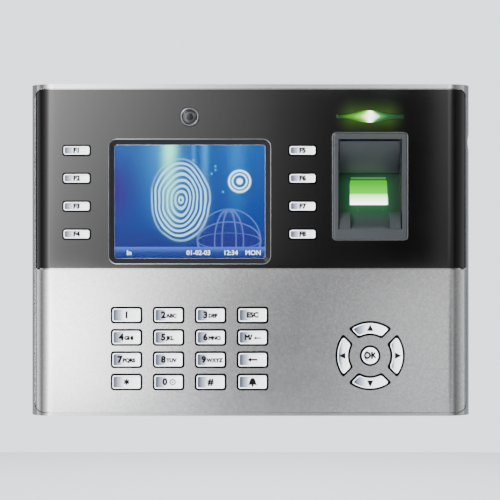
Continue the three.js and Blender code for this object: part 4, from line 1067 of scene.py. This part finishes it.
# %% Camera pieces
lens_low, lens_high = box_mm("camera_lens")
ring_front, ring_back = camera_low[DEEP], camera_high[DEEP]
BORE, THROAT, FLANGE, LENS = 3.55, 2.6, 5.5, 3.25
ring = turned("camera_trim", [
    (BORE, ring_front + 0.1), (3.75, ring_front), (4.15, ring_front), (RING, ring_front + 0.2),
    (RING, ring_back - 0.8), (FLANGE, ring_back - 0.8), (FLANGE, ring_back), (THROAT, ring_back),
    (THROAT, ring_front + 1.2), (3.3, ring_front + 1.2), (BORE, ring_front + 1.0),
    (BORE, ring_front + 0.1)], camera_x, camera_z, 64)
soften(ring, 0.05, 1, 50)
settle(ring, "root", ring_metal, "ring_metal", "camera_ring")
lens_glass, tree, shader = principled("lens glass", Roughness=0.03, Specular_IOR_Level=0.25)
x, y, z = places(tree)
lens_far = length(tree, measured(tree, x, camera_x * MM, LENS * MM),
                  measured(tree, z, camera_z * MM, LENS * MM))
wire(ramp(tree, lens_far, (0.0, (0.001, 0.001, 0.002)), (0.3, (0.003, 0.003, 0.004)),
          (0.56, (0.010, 0.010, 0.011)), (0.63, (0.045, 0.045, 0.047)),
          (0.7, (0.010, 0.010, 0.010)), (1.0, (0.016, 0.016, 0.017))), shader, "Base Color")
dome = [(LENS * math.sin(math.radians(step * 9)),
         lens_low[DEEP] + 0.35 * (1 - math.cos(math.radians(step * 9)))) for step in range(11)]
lens = turned("camera_glass", [*dome, (LENS, lens_high[DEEP]), (0, lens_high[DEEP])],
              camera_x, camera_z, 64)
soften(lens, 0)
settle(lens, "root", lens_glass, "lens_glass", "camera_lens")

# %% [markdown]
# ## Indicator
# The light pipe stands slightly proud and its face is crowned, so it is inset twice and lifted. A
# hidden flange behind the wall keeps it in.

# %% Indicator lens
CROWN = 0.15
flange_y = (indicator_high[DEEP] - 0.8, indicator_high[DEEP])
lamp = spindle("indicator_pipe", 0, indicator_low[DEEP] + CROWN, flange_y[0] + 0.1)
pick(lamp, "FACE", faces_towards((0, -1, 0)))
bpy.ops.mesh.inset(thickness=0.25 * MM, depth=0.1 * MM)
bpy.ops.mesh.inset(thickness=0.35 * MM, depth=0.05 * MM)
put_down()
combine(lamp, "UNION", spindle("tool", 0.8, *flange_y))
soften(lamp, 0)
settle(lamp, "root", indicator_light, "indicator_green", "indicator_lens")

# %% [markdown]
# ## Keys
# A cap is a rounded block with a raised rim and a dished middle: its front is inset for the rim,
# then inset and pushed in for the slope. The rim catches the light all round, the slope that faces
# away from it is shaded, and painted shade in the pearl material makes the left side blue-grey. The
# back face is widened into the flange that holds the key in, and the cap below the panel's face is
# painted black as shade for the gap round it. One cap of each size is modelled, and the rest are
# copies.

# %% Cap recipe
CAP_FRONT = box_mm("key_1")[0][DEEP]
GAP_SHADE_LINE = 0.3
DISH = 0.5
FLANGE_Y = (-33.8, -33.0)


def dish(piece, rim, slope, deep):
    """Insets the front face into a rim and a sunken middle."""
    pick(piece, "FACE", faces_towards((0, -1, 0)))
    bpy.ops.mesh.inset(thickness=rim * MM)
    bpy.ops.mesh.inset(thickness=slope * MM, depth=-deep * MM)
    put_down()


def number_across(piece, low, high):
    """Stores how far across the cap each point lies, nought at the left to one, for the painted
    shade.
    """
    across_cap = piece.data.attributes.new("across", "FLOAT", "POINT")
    for point, vert in zip(across_cap.data, piece.data.vertices):
        point.value = (vert.co.x / MM - low) / (high - low)


def mark_sides(piece):
    """Cuts an edge loop just under the panel's face, where the cap's painted black gap shade
    begins.
    """
    pick(piece, "FACE", lambda face: True)
    bpy.ops.mesh.bisect(plane_co=(0, (FRONT + GAP_SHADE_LINE) * MM, 0), plane_no=(0, 1, 0))
    put_down()


def settle_cap(piece, key):
    """A cap is pearl on top and painted black from the shade line down, as shade for its gap."""
    low, high = box_mm(key)
    number_across(piece, low[SIDE] + KEY_OVERHANG, high[SIDE] - KEY_OVERHANG)
    settle(piece, key, pearl, "key_cap", key)
    piece.data.materials.append(key_gap_shade)
    for face in piece.data.polygons:
        face.material_index = int(face.center.y > (FRONT + GAP_SHADE_LINE) * MM)
    return piece


def flanged(piece, x, z, widen, heighten):
    """Widens a cap's back face into its flange."""
    pick(piece, "FACE", faces_towards((0, 1, 0)))
    bpy.ops.mesh.extrude_region_move(TRANSFORM_OT_translate={"value": (0, 0, 0)})
    bpy.ops.transform.resize(value=(widen, 1, heighten),
                             center_override=(x * MM, FLANGE_Y[0] * MM, z * MM))
    bpy.ops.mesh.extrude_region_move(
        TRANSFORM_OT_translate={"value": (0, (FLANGE_Y[1] - FLANGE_Y[0]) * MM, 0)})
    put_down()


def straight_cap(key, name):
    """A dished cap with rounded corners, made where the frame has that key."""
    (x0, z0), (x1, z1) = cap_box(key, -CAP_TRIM)
    made = rounded_block(name, (x0, CAP_FRONT, z0), (x1, FLANGE_Y[0], z1), 1.0, 5)
    dish(made, 0.4, 0.38, DISH)
    width, height = x1 - x0, z1 - z0
    lip = 2 * (KEY_OVERHANG + CAP_TRIM)
    flanged(made, (x0 + x1) / 2, (z0 + z1) / 2, 1 + lip / width, 1 + lip / height)
    mark_sides(made)
    return soften(made, 0.15, 2, 24)


for keys in (FUNCTION_KEYS, PAD_KEYS):
    first = straight_cap(keys[0], f"cap_{keys[0]}")
    home = middle_of(keys[0])
    for key in keys[1:]:
        here = middle_of(key)
        settle_cap(twin(first, f"cap_{key}", here[0] - home[0], here[1] - home[1]), key)
    settle_cap(first, keys[0])

# %% Arrow keys and the round key
ARROWS = ["nav_right", "nav_up", "nav_left", "nav_down"]
for quarter, key in enumerate(ARROWS):
    heading = quarter * math.pi / 2
    arrow = arrow_block(f"cap_{key}", heading, -0.1, CAP_FRONT, FLANGE_Y[0] + 0.1)
    dish(arrow, 0.35, 0.33, DISH)
    combine(arrow, "UNION", arrow_block("tool", heading, KEY_OVERHANG, *FLANGE_Y))
    mark_sides(arrow)
    soften(arrow, 0.12, 2, 24)
    settle_cap(arrow, key)
OK_RIM, OK_CAP = 3.2, 3.87
OK_FLANGE = OK_RADIUS + KEY_OVERHANG
hollow = [(OK_RIM * step / 6, CAP_FRONT + DISH * (1 - (step / 6) ** 6)) for step in range(7)]
ok_cap = turned("cap_key_ok", [
    *hollow, (3.4, CAP_FRONT), (3.72, CAP_FRONT), (OK_CAP, CAP_FRONT + 0.2),
    (OK_CAP, FLANGE_Y[0]), (OK_FLANGE, FLANGE_Y[0]), (OK_FLANGE, FLANGE_Y[1]),
    (0, FLANGE_Y[1])], nav_x, nav_z, 56)
mark_sides(ok_cap)
soften(ok_cap, 0)
settle_cap(ok_cap, "key_ok")

# %% [markdown]
# ## Legends
# Digits with their small letters, function numbers, and plain signs for back, enter, on and bell.
# Each sits in the dish of its key and rides with it. The signs are drawn outlines.

# %% Drawn signs
LEGEND_Y = CAP_FRONT + DISH
INK = 0.04
INK_Y = (LEGEND_Y - INK, LEGEND_Y - 0.005)


def sign(points, x, z):
    """A small flat shape, drawn as points round a key's middle."""
    return prism("sign", [(x + a, INK_Y[0], z + b) for a, b in points], (0, INK_Y[1] - INK_Y[0], 0))


def back_arrow(x, z, size):
    """An arrow to the left, with a plain shaft."""
    upper = [(-2.0, 0), (-0.6, 1.0), (-0.6, 0.35), (2.0, 0.35)]
    lower = [(a, -b) for a, b in reversed(upper[1:])]
    return sign([(a * size, b * size) for a, b in upper + lower], x, z)


def hoop(radius, width, x, z):
    """A thin ring."""
    front, back = INK_Y
    return turned("sign", [(radius, front), (radius + width, front), (radius + width, back),
                           (radius, back), (radius, front)], x, z, 28)


def bell(x, z):
    """A bell's outline over a round clapper."""
    side = [(2.2, -1.3), (1.7, -0.8), (1.35, 0.5), (0.95, 1.4), (0.35, 1.9)]
    both = side + [(-a, b) for a, b in reversed(side)]
    return [sign(both, x, z), drum("sign", 0.5, *INK_Y, x, z - 1.7, 16)]


print("legends lie at y", round(LEGEND_Y, 2), "mm")

# %% Legends on the keys
SMALL_LETTERS = {"2": "ABC", "3": "DEF", "4": "GHI", "5": "JKL", "6": "MNO", "7": "PQRS",
                 "8": "TUV", "9": "WXYZ"}
# Each style is a height and a stroke weight, in millimetres.
DIGIT, SMALL, FUNCTION = (4.1, 0.24), (2.4, 0.17), (3.1, 0.2)
WORD, STAR, ROUND = (3.3, 0.2), (5.4, 0.22), (4.2, 0.24)


def ink(key, parts):
    """Joins a key's signs into one legend that rides on the key."""
    legend = gathered(f"legend_{key}", parts)
    settle(legend, key, legend_black, "key_cap")


def written(key, text, style, dx=0.0, dz=0.0, anchor="CENTER"):
    """Text in a key's dish, placed from the key's middle."""
    x, z = middle_of(key)
    size, weight = style
    return letters(text, x + dx, z + dz, size, LEGEND_Y, weight=weight, anchor=anchor)


for number, key in enumerate(FUNCTION_KEYS, 1):
    ink(key, [written(key, f"F{number}", FUNCTION)])
for digit, small in SMALL_LETTERS.items():
    key = f"key_{digit}"
    left = -0.75 - 0.75 * len(small)
    ink(key, [written(key, digit, DIGIT, left + 0.6),
              written(key, small, SMALL, left + 2.0, -0.35, "LEFT")])
for key, text, style, dz in (("key_1", "1", DIGIT, 0), ("key_esc", "ESC", WORD, 0),
                             ("key_star", "*", STAR, -1.0), ("key_hash", "#", DIGIT, 0),
                             ("key_ok", "OK", ROUND, 0)):
    ink(key, [written(key, text, style, dz=dz)])
x, z = middle_of("key_0")
ink("key_0", [written("key_0", "0", DIGIT, -1.7), hoop(0.95, 0.45, x + 1.9, z),
              drum("sign", 0.4, *INK_Y, x + 1.9, z, 12)])
x, z = middle_of("key_menu")
ink("key_menu", [written("key_menu", "M/", WORD, -2.0), back_arrow(x + 2.2, z - 0.3, 0.85)])
ink("key_back", [back_arrow(*middle_of("key_back"), 1.15)])
ink("key_bell", bell(*middle_of("key_bell")))

# %% Triangles on the arrow keys
ARROW_MIDDLE = (ARROW_INNER + ARROW_OUTER) / 2
for quarter, key in enumerate(ARROWS):
    turn = quarter * math.pi / 2
    points = []
    for outwards, across in ((1.75, 0), (-1.25, 1.55), (-1.25, -1.55)):
        reach = ARROW_MIDDLE + outwards
        points.append((reach * math.cos(turn) - across * math.sin(turn),
                       reach * math.sin(turn) + across * math.cos(turn)))
    ink(key, [sign(points, nav_x, nav_z)])

# %% [markdown]
# ## Finger bay
# A slate frame leads into a tub. Its ceiling slopes in behind a separate panel with dark grooves
# round it, its floor tilts up to the finger and carries the lit glass, and a ramp with a guide on
# each side brings the finger in. The section is drawn once along X and cut out of a solid tub.

# %% Bay sections
GLASS_MIDDLE = 27.07
BAY_DEEP = (FRONT + 14.1, 36.2)
FLOOR_END = (FRONT + 5.0, 15.85)
LIP_Y = FRONT + 1.5
bay_front = bay_low[DEEP]
tilt = math.atan2(BAY_DEEP[0] - FLOOR_END[0], BAY_DEEP[1] - FLOOR_END[1])
slope = math.atan2(BAY_DEEP[0] - LIP_Y, mouth_high - BAY_DEEP[1])
GROOVE = 1.1


def across(name, points, x0, x1):
    """A section of (y, z) points run along X."""
    return prism(name, [(x0, y, z) for y, z in points], (x1 - x0, 0, 0))


ramp_curve = swept(FLOOR_END, (FLOOR_END[0] - 1.5, (FLOOR_END[1] + mouth_low) / 2 - 1.2),
                   (bay_front, mouth_low))
groove = (GROOVE * math.cos(slope), GROOVE * math.sin(slope))
hollow_section = [(bay_front - 5, mouth_high), (LIP_Y + groove[0], mouth_high),
                  (BAY_DEEP[0] + 0.2, BAY_DEEP[1] + groove[1]), BAY_DEEP, *ramp_curve,
                  (bay_front - 5, mouth_low)]
ceiling_wall = (BAY_WALL * math.cos(slope), BAY_WALL * math.sin(slope))
floor_wall = (BAY_WALL * math.cos(tilt), -BAY_WALL * math.sin(tilt))
TUB_FRONT = -37.9
tub_section = [(LIP_Y + ceiling_wall[0], mouth_high + BAY_WALL),
               (BAY_DEEP[0] + ceiling_wall[0], BAY_DEEP[1] + ceiling_wall[1]),
               (BAY_DEEP[0] + floor_wall[0], BAY_DEEP[1] + floor_wall[1]),
               (FLOOR_END[0] + floor_wall[0], FLOOR_END[1] + floor_wall[1]),
               (FLOOR_END[0] + floor_wall[0] - BAY_WALL, mouth_low - BAY_WALL),
               (TUB_FRONT, mouth_low - BAY_WALL), (TUB_FRONT, mouth_high + BAY_WALL)]
print("floor and ceiling tilt", [round(math.degrees(angle), 1) for angle in (tilt, slope)])

# %% Frame, tub and guides
bay = rounded_ends("finger_bay", bay_low, (bay_high[SIDE], -36.4, bay_high[UP]), 1.7)
pick(bay, "FACE", faces_towards((0, -1, 0)))
bpy.ops.mesh.inset(thickness=1.3 * MM)
put_down()
pick(bay, "EDGE", lambda edge: all(vert.co.y < (bay_front + 0.01) * MM for vert in edge.verts)
     and any(abs(face.normal.y) < 0.5 for face in edge.link_faces))
bpy.ops.mesh.bevel(offset=0.8 * MM, segments=4, affect="EDGES")
put_down()
combine(bay, "UNION", across("tool", tub_section, bay_x - tub_half, bay_x + tub_half))
combine(bay, "DIFFERENCE",
        across("tool", hollow_section, bay_x - BAY_MOUTH / 2, bay_x + BAY_MOUTH / 2))
RAMP_HALF, GUIDE_EDGES = 9.05, (0.15, 5.2)
guide_curve = swept((FRONT + 2.8, 17.7), (FRONT + 0.6, 14.5), (bay_front + GAP, mouth_low), 10)
guide_section = [*guide_curve, (bay_front + GAP, mouth_low - 0.7), (LIP_Y + 2, mouth_low - 0.7),
                 (FLOOR_END[0] + 0.7, FLOOR_END[1]), (FLOOR_END[0] + 0.7, 17.7)]
for side in (-1, 1):
    edges = sorted(bay_x + side * (RAMP_HALF + edge) for edge in GUIDE_EDGES)
    combine(bay, "UNION", across("tool", guide_section, *edges))
print("bay:", len(bay.data.polygons), "faces")

# %% Ceiling panel and floor details
panel_half = BAY_MOUTH / 2 - 0.9
lift = (groove[0] + 0.3, groove[1] + 0.3)
ceiling_section = [(LIP_Y - 0.4, mouth_high - 0.9), (BAY_DEEP[0] - 0.4, BAY_DEEP[1]),
                   (BAY_DEEP[0] + lift[0], BAY_DEEP[1] + lift[1]),
                   (LIP_Y + lift[0] + 0.6, mouth_high - 0.9)]
combine(bay, "UNION", across("tool", ceiling_section, bay_x - panel_half, bay_x + panel_half))
floor_y = BAY_DEEP[0] - (BAY_DEEP[1] - GLASS_MIDDLE) * math.tan(tilt)


def on_floor(name, size, front, back, above=0.0, shift=0.0, corner=0.0):
    """A block lying on the tilted floor, its middle above the glass's middle."""
    width, height = size
    low = (shift - width / 2, front, above - height / 2)
    high = (shift + width / 2, back, above + height / 2)
    made = rounded_block(name, low, high, corner, 3) if corner else block(name, low, high)
    place = Matrix.Translation((bay_x * MM, floor_y * MM, GLASS_MIDDLE * MM))
    made.data.transform(place @ Matrix.Rotation(-tilt, 4, "X"))
    return made


combine(bay, "DIFFERENCE", on_floor("tool", (18.0, 13.0), -4, 4))
for shift in (-5.9, 5.9):
    combine(bay, "DIFFERENCE", on_floor("tool", (0.8, 0.8), -0.5, 0.4, -8.95, shift, 0.35))
soften(bay, 0.14, 2, 28)
settle(bay, "root", slate, "slate_plastic", "sensor_bay")

# %% Sensor glass and the light strip above it
glass = on_floor("sensor_glass_block", (17.4, 12.4), -0.25, 3.25, corner=0.5)
soften(glass, 0.18, 2)
settle(glass, "root", sensor_light, "sensor_glass", "sensor_window")
strip_light, tree, shader = principled("strip light", Base_Color=(0.01, 0.02, 0.01, 1),
                                       Roughness=0.2, Emission_Strength=1.0)
fine = use(tree, grain, Size_mm=0.8, Bump=0.02).outputs["Value"]
wire(ramp(tree, fine, (0.2, (0.035, 0.24, 0.035)), (0.8, (0.045, 0.29, 0.045))), shader,
     "Emission Color")
strip = on_floor("light_strip", (16.6, 1.1), -0.2, 0.5, 7.35, corner=0.3)
soften(strip, 0.08, 2)
settle(strip, "root", strip_light, "sensor_glass")

# %% [markdown]
# ## Rear housing
# The back is a chamfered tray. It is recessed for the wall plate, with windows for the sockets,
# slots for the plate's hooks, wells for the screws and a grille for the speaker.

# %% Rear housing shell
REAR_FRONT, REAR_CHAMFER, REAR_INSIDE = -18.7, 3, -2.7
rear = rounded_ends("rear_shell", (rear_low[SIDE], REAR_FRONT, rear_low[UP]), rear_high, 4.0)
pick(rear, "EDGE", lambda edge: all(vert.co.y > (rear_high[DEEP] - 0.01) * MM
                                    for vert in edge.verts))
bpy.ops.mesh.bevel(offset=REAR_CHAMFER * MM, segments=3, affect="EDGES")
put_down()
inside_x, inside_z = rear_high[SIDE] - REAR_WALL, rear_high[UP] - REAR_WALL
combine(rear, "DIFFERENCE",
        block("tool", (-inside_x, -25, -inside_z), (inside_x, REAR_INSIDE, inside_z)))
pan_x, pan_low, pan_high, PAN_Y = 71, -74, 46.5, -2.4
combine(rear, "UNION", block("tool", (-pan_x - REAR_WALL, PAN_Y - REAR_WALL, -75.5),
                             (pan_x + REAR_WALL, PAN_Y, pan_high + REAR_WALL)))
combine(rear, "DIFFERENCE", block("tool", (-pan_x, PAN_Y, pan_low), (pan_x, 5, pan_high)))
COLUMN_RADIUS, WELL_RADIUS, WELL_Y = 4.6, 3.2, -12
for x, z in screw_places:
    combine(rear, "UNION", drum("tool", COLUMN_RADIUS, REAR_FRONT, -1.6, x, z, 32))
    combine(rear, "DIFFERENCE", drum("tool", PILOT_RADIUS, -25, 2, x, z, 24),
            drum("tool", WELL_RADIUS, WELL_Y, 5, x, z, 32))
print("rear shell:", len(rear.data.polygons), "faces")

# %% Windows, slots and grille
SOCKET_GAP = 0.5
sockets = []
for name in ("network_jack", "power_jack", "terminal_block"):
    low, high = box_mm(name)
    sockets.append(rounded_block("tool", (low[SIDE] - SOCKET_GAP, -6, low[UP] - SOCKET_GAP),
                                 (high[SIDE] + SOCKET_GAP, 2, high[UP] + SOCKET_GAP), 0.6, 3))
hooks = [rounded_block("tool", (x - 5.3, -6, 31.9), (x + 5.3, 2, 37.5), 0.5, 3) for x in (-50, 50)]
grille = [rounded_block("tool", (x - 1, -15.7, -80), (x + 1, -6.7, -73), 0.98, 6, UP)
          for x in (57 + 4 * (step - 3.5) for step in range(8))]
combine(rear, "DIFFERENCE", *sockets, *hooks, gathered("tool", grille),
        block("tool", (-8.3, -12.3, -80), (8.3, 5, -74.4)),
        block("tool", (-8.3, PAN_Y, -80), (8.3, 5, -73)))
combine(rear, "UNION", block("tool", (-11, -15, -74.4), (11, -3.6, -70)))
cover_low, cover_high = box_mm("usb_cover")
combine(rear, "DIFFERENCE",
        block("tool", (cover_high[SIDE] - 1.3, cover_low[DEEP] - GAP, cover_low[UP] - GAP),
              (cover_high[SIDE] + 5, cover_high[DEEP] + GAP, cover_high[UP] + GAP)),
        block("tool", (95, -13.0, 31.85), (103, -7.1, 45.15)), notch_tool(-40))
soften(rear, 0.3, 2)
settle(rear, "root", rear_black, "rear_plastic", "rear_housing")

# %% [markdown]
# ## Wall plate and screws
# The plate is pressed steel: keyholes, a cable window, two hooks and a turned-down tongue for the
# locking screw.

# %% Wall plate
SHEET = 1.5
plate = rounded_ends("plate_steel_sheet", (plate_low[SIDE], -SHEET, -73),
                     (plate_high[SIDE], 0, plate_high[UP]), 4)
HEAD_HOLE, SLOT_HALF = 4, 2.2
keyholes = []
for x in (-55, 55):
    for z in (-55, 25):
        slot = rounded_block("tool", (x - SLOT_HALF, -3, z - 2), (x + SLOT_HALF, 2, z + 10.2),
                             SLOT_HALF - 0.01, 8)
        keyholes.append(combine(drum("tool", HEAD_HOLE, -3, 2, x, z, 40), "UNION", slot))
cable_window = rounded_block("tool", (-60, -3, -36), (60, 2, -4), 4, 8)
combine(plate, "DIFFERENCE", *keyholes, cable_window)
for x in (-50, 50):
    combine(plate, "UNION", block("tool", (x - 5, -6.19, 35.7), (x + 5, -0.75, 37.2)),
            rounded_block("tool", (x - 5, -6.19, 35.7), (x + 5, -4.99, 41.0), 0.8, 4))
combine(plate, "UNION", block("tool", (-8, -SHEET, -76.2), (8, 0, -72)),
        block("tool", (-8, -12, -76.2), (8, 0, -76.2 + SHEET)))
bpy.ops.object.select_all(action="DESELECT")
bpy.ops.mesh.primitive_cone_add(vertices=40, radius1=3.2 * MM, radius2=1.7 * MM, depth=1.6 * MM,
                                location=(0, -6 * MM, -75.5 * MM))
combine(plate, "DIFFERENCE", named("tool"))
soften(plate, 0.2, 2)
settle(plate, "root", zinc, "plate_steel", "wall_plate")

# %% Case screws
x0, z0 = screw_places[0]
HEAD_RADIUS, THREAD_RADIUS, PITCH = 2.75, 1.45, 0.5
head = [(0, -9.9), (1.6, -9.75), (2.4, -9.95), (HEAD_RADIUS, -10.5), (HEAD_RADIUS, -11.7),
        (THREAD_RADIUS, -11.7)]
thread = []
for turn in range(26):
    y = -12.2 - turn * PITCH
    thread += [(THREAD_RADIUS, y), (1.2, y - PITCH / 2)]
screw = turned("case_screw_head_1", [*head, *thread, (1.1, -25.4), (0, -26)], x0, z0, 28)
for size in ((3.0, 0.7), (0.7, 3.0)):
    combine(screw, "DIFFERENCE", block("tool", (x0 - size[0] / 2, -10.6, z0 - size[1] / 2),
                                       (x0 + size[0] / 2, -9, z0 + size[1] / 2)))
soften(screw, 0, angle=20)
for number, (x, z) in enumerate(screw_places[1:], 2):
    settle(twin(screw, f"case_screw_head_{number}", x - x0, z - z0), "root", screw_steel,
           "screw_steel", f"case_screw_{number}")
settle(screw, "root", screw_steel, "screw_steel", "case_screw_1")

# %% [markdown]
# ## Side cover
# The socket's rubber cover has a plug on its back and a small lip to lift it by.

# %% Socket cover
cover = rounded_block("side_cover", (cover_high[SIDE] - 1, cover_low[DEEP], cover_low[UP]),
                      (cover_high[SIDE], cover_high[DEEP], cover_high[UP]), 1.2, 5, SIDE)
plug = rounded_block("tool", (cover_low[SIDE], -12.7, 32.15),
                     (cover_high[SIDE] - 0.5, -7.4, 44.85), 0.6, 3, SIDE)
lip = rounded_block("tool", (cover_high[SIDE] - 0.35, -14.6, 36.5),
                    (cover_high[SIDE] + 1, -13.4, 40.5), 0.5, 3, SIDE)
combine(cover, "UNION", plug)
combine(cover, "DIFFERENCE", lip)
soften(cover, 0.15, 2)
settle(cover, "usb_cover", rubber, "cover_rubber", "usb_cover")

# %% [markdown]
# ## Pieces whose frame shape is already right
# Boards, sockets, silicone mats and the modules inside are plain shapes, mostly hidden, so they
# keep their frame solids and take a finish each.

# %% Finishes for the remaining nodes
INSIDE = {
    "lcd_module": tinned, "camera_module": rear_black, "sensor_module": rear_black,
    "speaker": rear_black, "function_mat_left": silicone, "function_mat_right": silicone,
    "keypad_mat": silicone, "key_board": mask_green, "main_board": mask_green,
    "terminal_block": terminal_green, "network_jack": tinned, "power_jack": rear_black,
    "usb_socket": tinned, "plate_screw": screw_steel,
}
for name, material in INSIDE.items():
    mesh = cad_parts[name].data
    mesh.materials.clear()
    mesh.materials.append(material)
shown = [name for name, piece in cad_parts.items() if not piece.hide_render]
print("frame nodes left showing:", sorted(shown))

# %% [markdown]
# ## Studio
# A pale floor and pale air stand round the terminal, lit softly. The front carries polished
# surfaces, so what they reflect matters more than what lights them: cards behind the camera fade
# from bright on the left to dark on the right, and dark flags at each side draw the dark lines
# down the rolled edges. Cards show only in reflections.

# %% World and floor
world = bpy.data.worlds.new("studio air")
bpy.context.scene.world = world
world.use_nodes = True
world.node_tree.nodes.clear()
air = node(world.node_tree, "ShaderNodeBackground", Color=(0.86, 0.92, 1.0, 1), Strength=0.6)
seen = node(world.node_tree, "ShaderNodeBackground", Color=(0.86, 0.93, 1.0, 1), Strength=2.2)
path = node(world.node_tree, "ShaderNodeLightPath")
both = node(world.node_tree, "ShaderNodeMixShader", i0=path.outputs["Is Camera Ray"],
            i1=air.outputs[0], i2=seen.outputs[0])
node(world.node_tree, "ShaderNodeOutputWorld", Surface=both.outputs[0])

floor = block("studio_floor", (-1500, -1500, -262), (1500, 1500, -260))
pale, tree, shader = principled("studio paper", Roughness=0.8)
tone = node(tree, "ShaderNodeTexNoise", Vector=on_object(tree), Scale=2.0, Detail=2.0).outputs[0]
wire(ramp(tree, tone, (0.3, (0.76, 0.81, 0.86)), (0.7, (0.79, 0.84, 0.89))), shader, "Base Color")
floor.data.materials.append(pale)
print("floor top at", round(max(vert.co.z for vert in floor.data.vertices) / MM), "mm")

# %% Reflection cards
CARD_POWER = 10


def card(name, centre, size, turn, strengths, low=1.0):
    """A glowing card, in millimetres. Its strength runs across it between stops, and from `low`
    of that at the bottom to all of it at the top."""
    bpy.ops.object.select_all(action="DESELECT")
    bpy.ops.mesh.primitive_plane_add(size=1, location=[value * MM for value in centre],
                                     rotation=[math.radians(value) for value in turn])
    made = bpy.context.object
    made.name = name
    made.scale = (size[0] * MM, size[1] * MM, 1)
    material = bpy.data.materials.new(name)
    material.use_nodes = True
    lit_tree = material.node_tree
    lit_tree.nodes.clear()
    x, y, z = places(lit_tree)
    reach = size[0] / 2
    stops = [((along + reach) / size[0], (value / CARD_POWER,) * 3) for along, value in strengths]
    level = ramp(lit_tree, maths(lit_tree, "ADD", x, 0.5), *stops)
    upward = rise(lit_tree, y, -0.5, 0.5, low, 1.0)
    emission = node(lit_tree, "ShaderNodeEmission", Color=blend(lit_tree, upward, BLACK, level),
                    Strength=CARD_POWER)
    node(lit_tree, "ShaderNodeOutputMaterial", Surface=emission.outputs[0])
    made.data.materials.append(material)
    made.visible_camera = False
    made.visible_shadow = False
    return made


CARD_Y = -1500
SQUARE_ON = (90, 0, 0)
card("card_for_gloss", (0, CARD_Y, 96), (1600, 237), SQUARE_ON,
     [(-800, 9.5), (-250, 9.5), (-237, 7.5), (-188, 5.7), (-137, 4.5), (-88, 3.4), (-38, 2.6),
      (12, 1.8), (37, 1.2), (93, 0.55), (190, 0.15), (222, 0.25), (246, 1.6), (320, 2.2),
      (500, 2.2), (800, 1.0)], 0.5)
card("card_for_silver", (0, CARD_Y, -112), (1600, 179), SQUARE_ON,
     [(-800, 9), (-240, 9), (-188, 5.5), (-129, 2.6), (-75, 0.9), (-24, 0.35), (40, 0.25),
      (86, 0.35), (200, 1.2), (240, 1.3), (300, 1.1), (400, 0.7), (550, 0.35), (800, 0.15)])
card("card_above", (0, CARD_Y, 340), (1600, 249), SQUARE_ON,
     [(-800, 8), (-240, 8), (0, 0.7), (240, 5), (800, 5)])
card("card_below", (0, CARD_Y, -326), (1600, 249), SQUARE_ON,
     [(-800, 0.8), (0, 0.25), (800, 0.4)])
ALONG_LEFT = (90, 0, 90)
card("left_flag", (-600, -525, 0), (1150, 900), ALONG_LEFT,
     [(-575, 9), (-336, 5), (-85, 2.2), (100, 1.0), (235, 0.45), (326, 0.35), (439, 1.2),
      (575, 2.2)])
card("right_flag", (600, -525, 0), (1150, 900), ALONG_LEFT,
     [(-575, 0.8), (-212, 0.35), (-35, 0.15), (215, 0.4), (515, 1.2), (575, 1.5)])

# %% Lamps


def lamp_at(name, place, aim, size, power):
    """An area lamp, in millimetres, aimed at a point."""
    bpy.ops.object.light_add(type="AREA", location=[value * MM for value in place])
    made = bpy.context.object
    made.name = name
    made.data.size = size * MM
    made.data.energy = power
    direction = Vector(aim) - Vector(place)
    made.rotation_euler = direction.to_track_quat("-Z", "Y").to_euler()
    return made


lamp_at("key_light", (-1000, -1200, 1000), (0, 0, 0), 700, 90)
lamp_at("fill_right", (1200, -1000, 500), (0, 0, 0), 800, 20)
lamp_at("back_light", (0, 1300, 900), (0, 0, 0), 1000, 30)
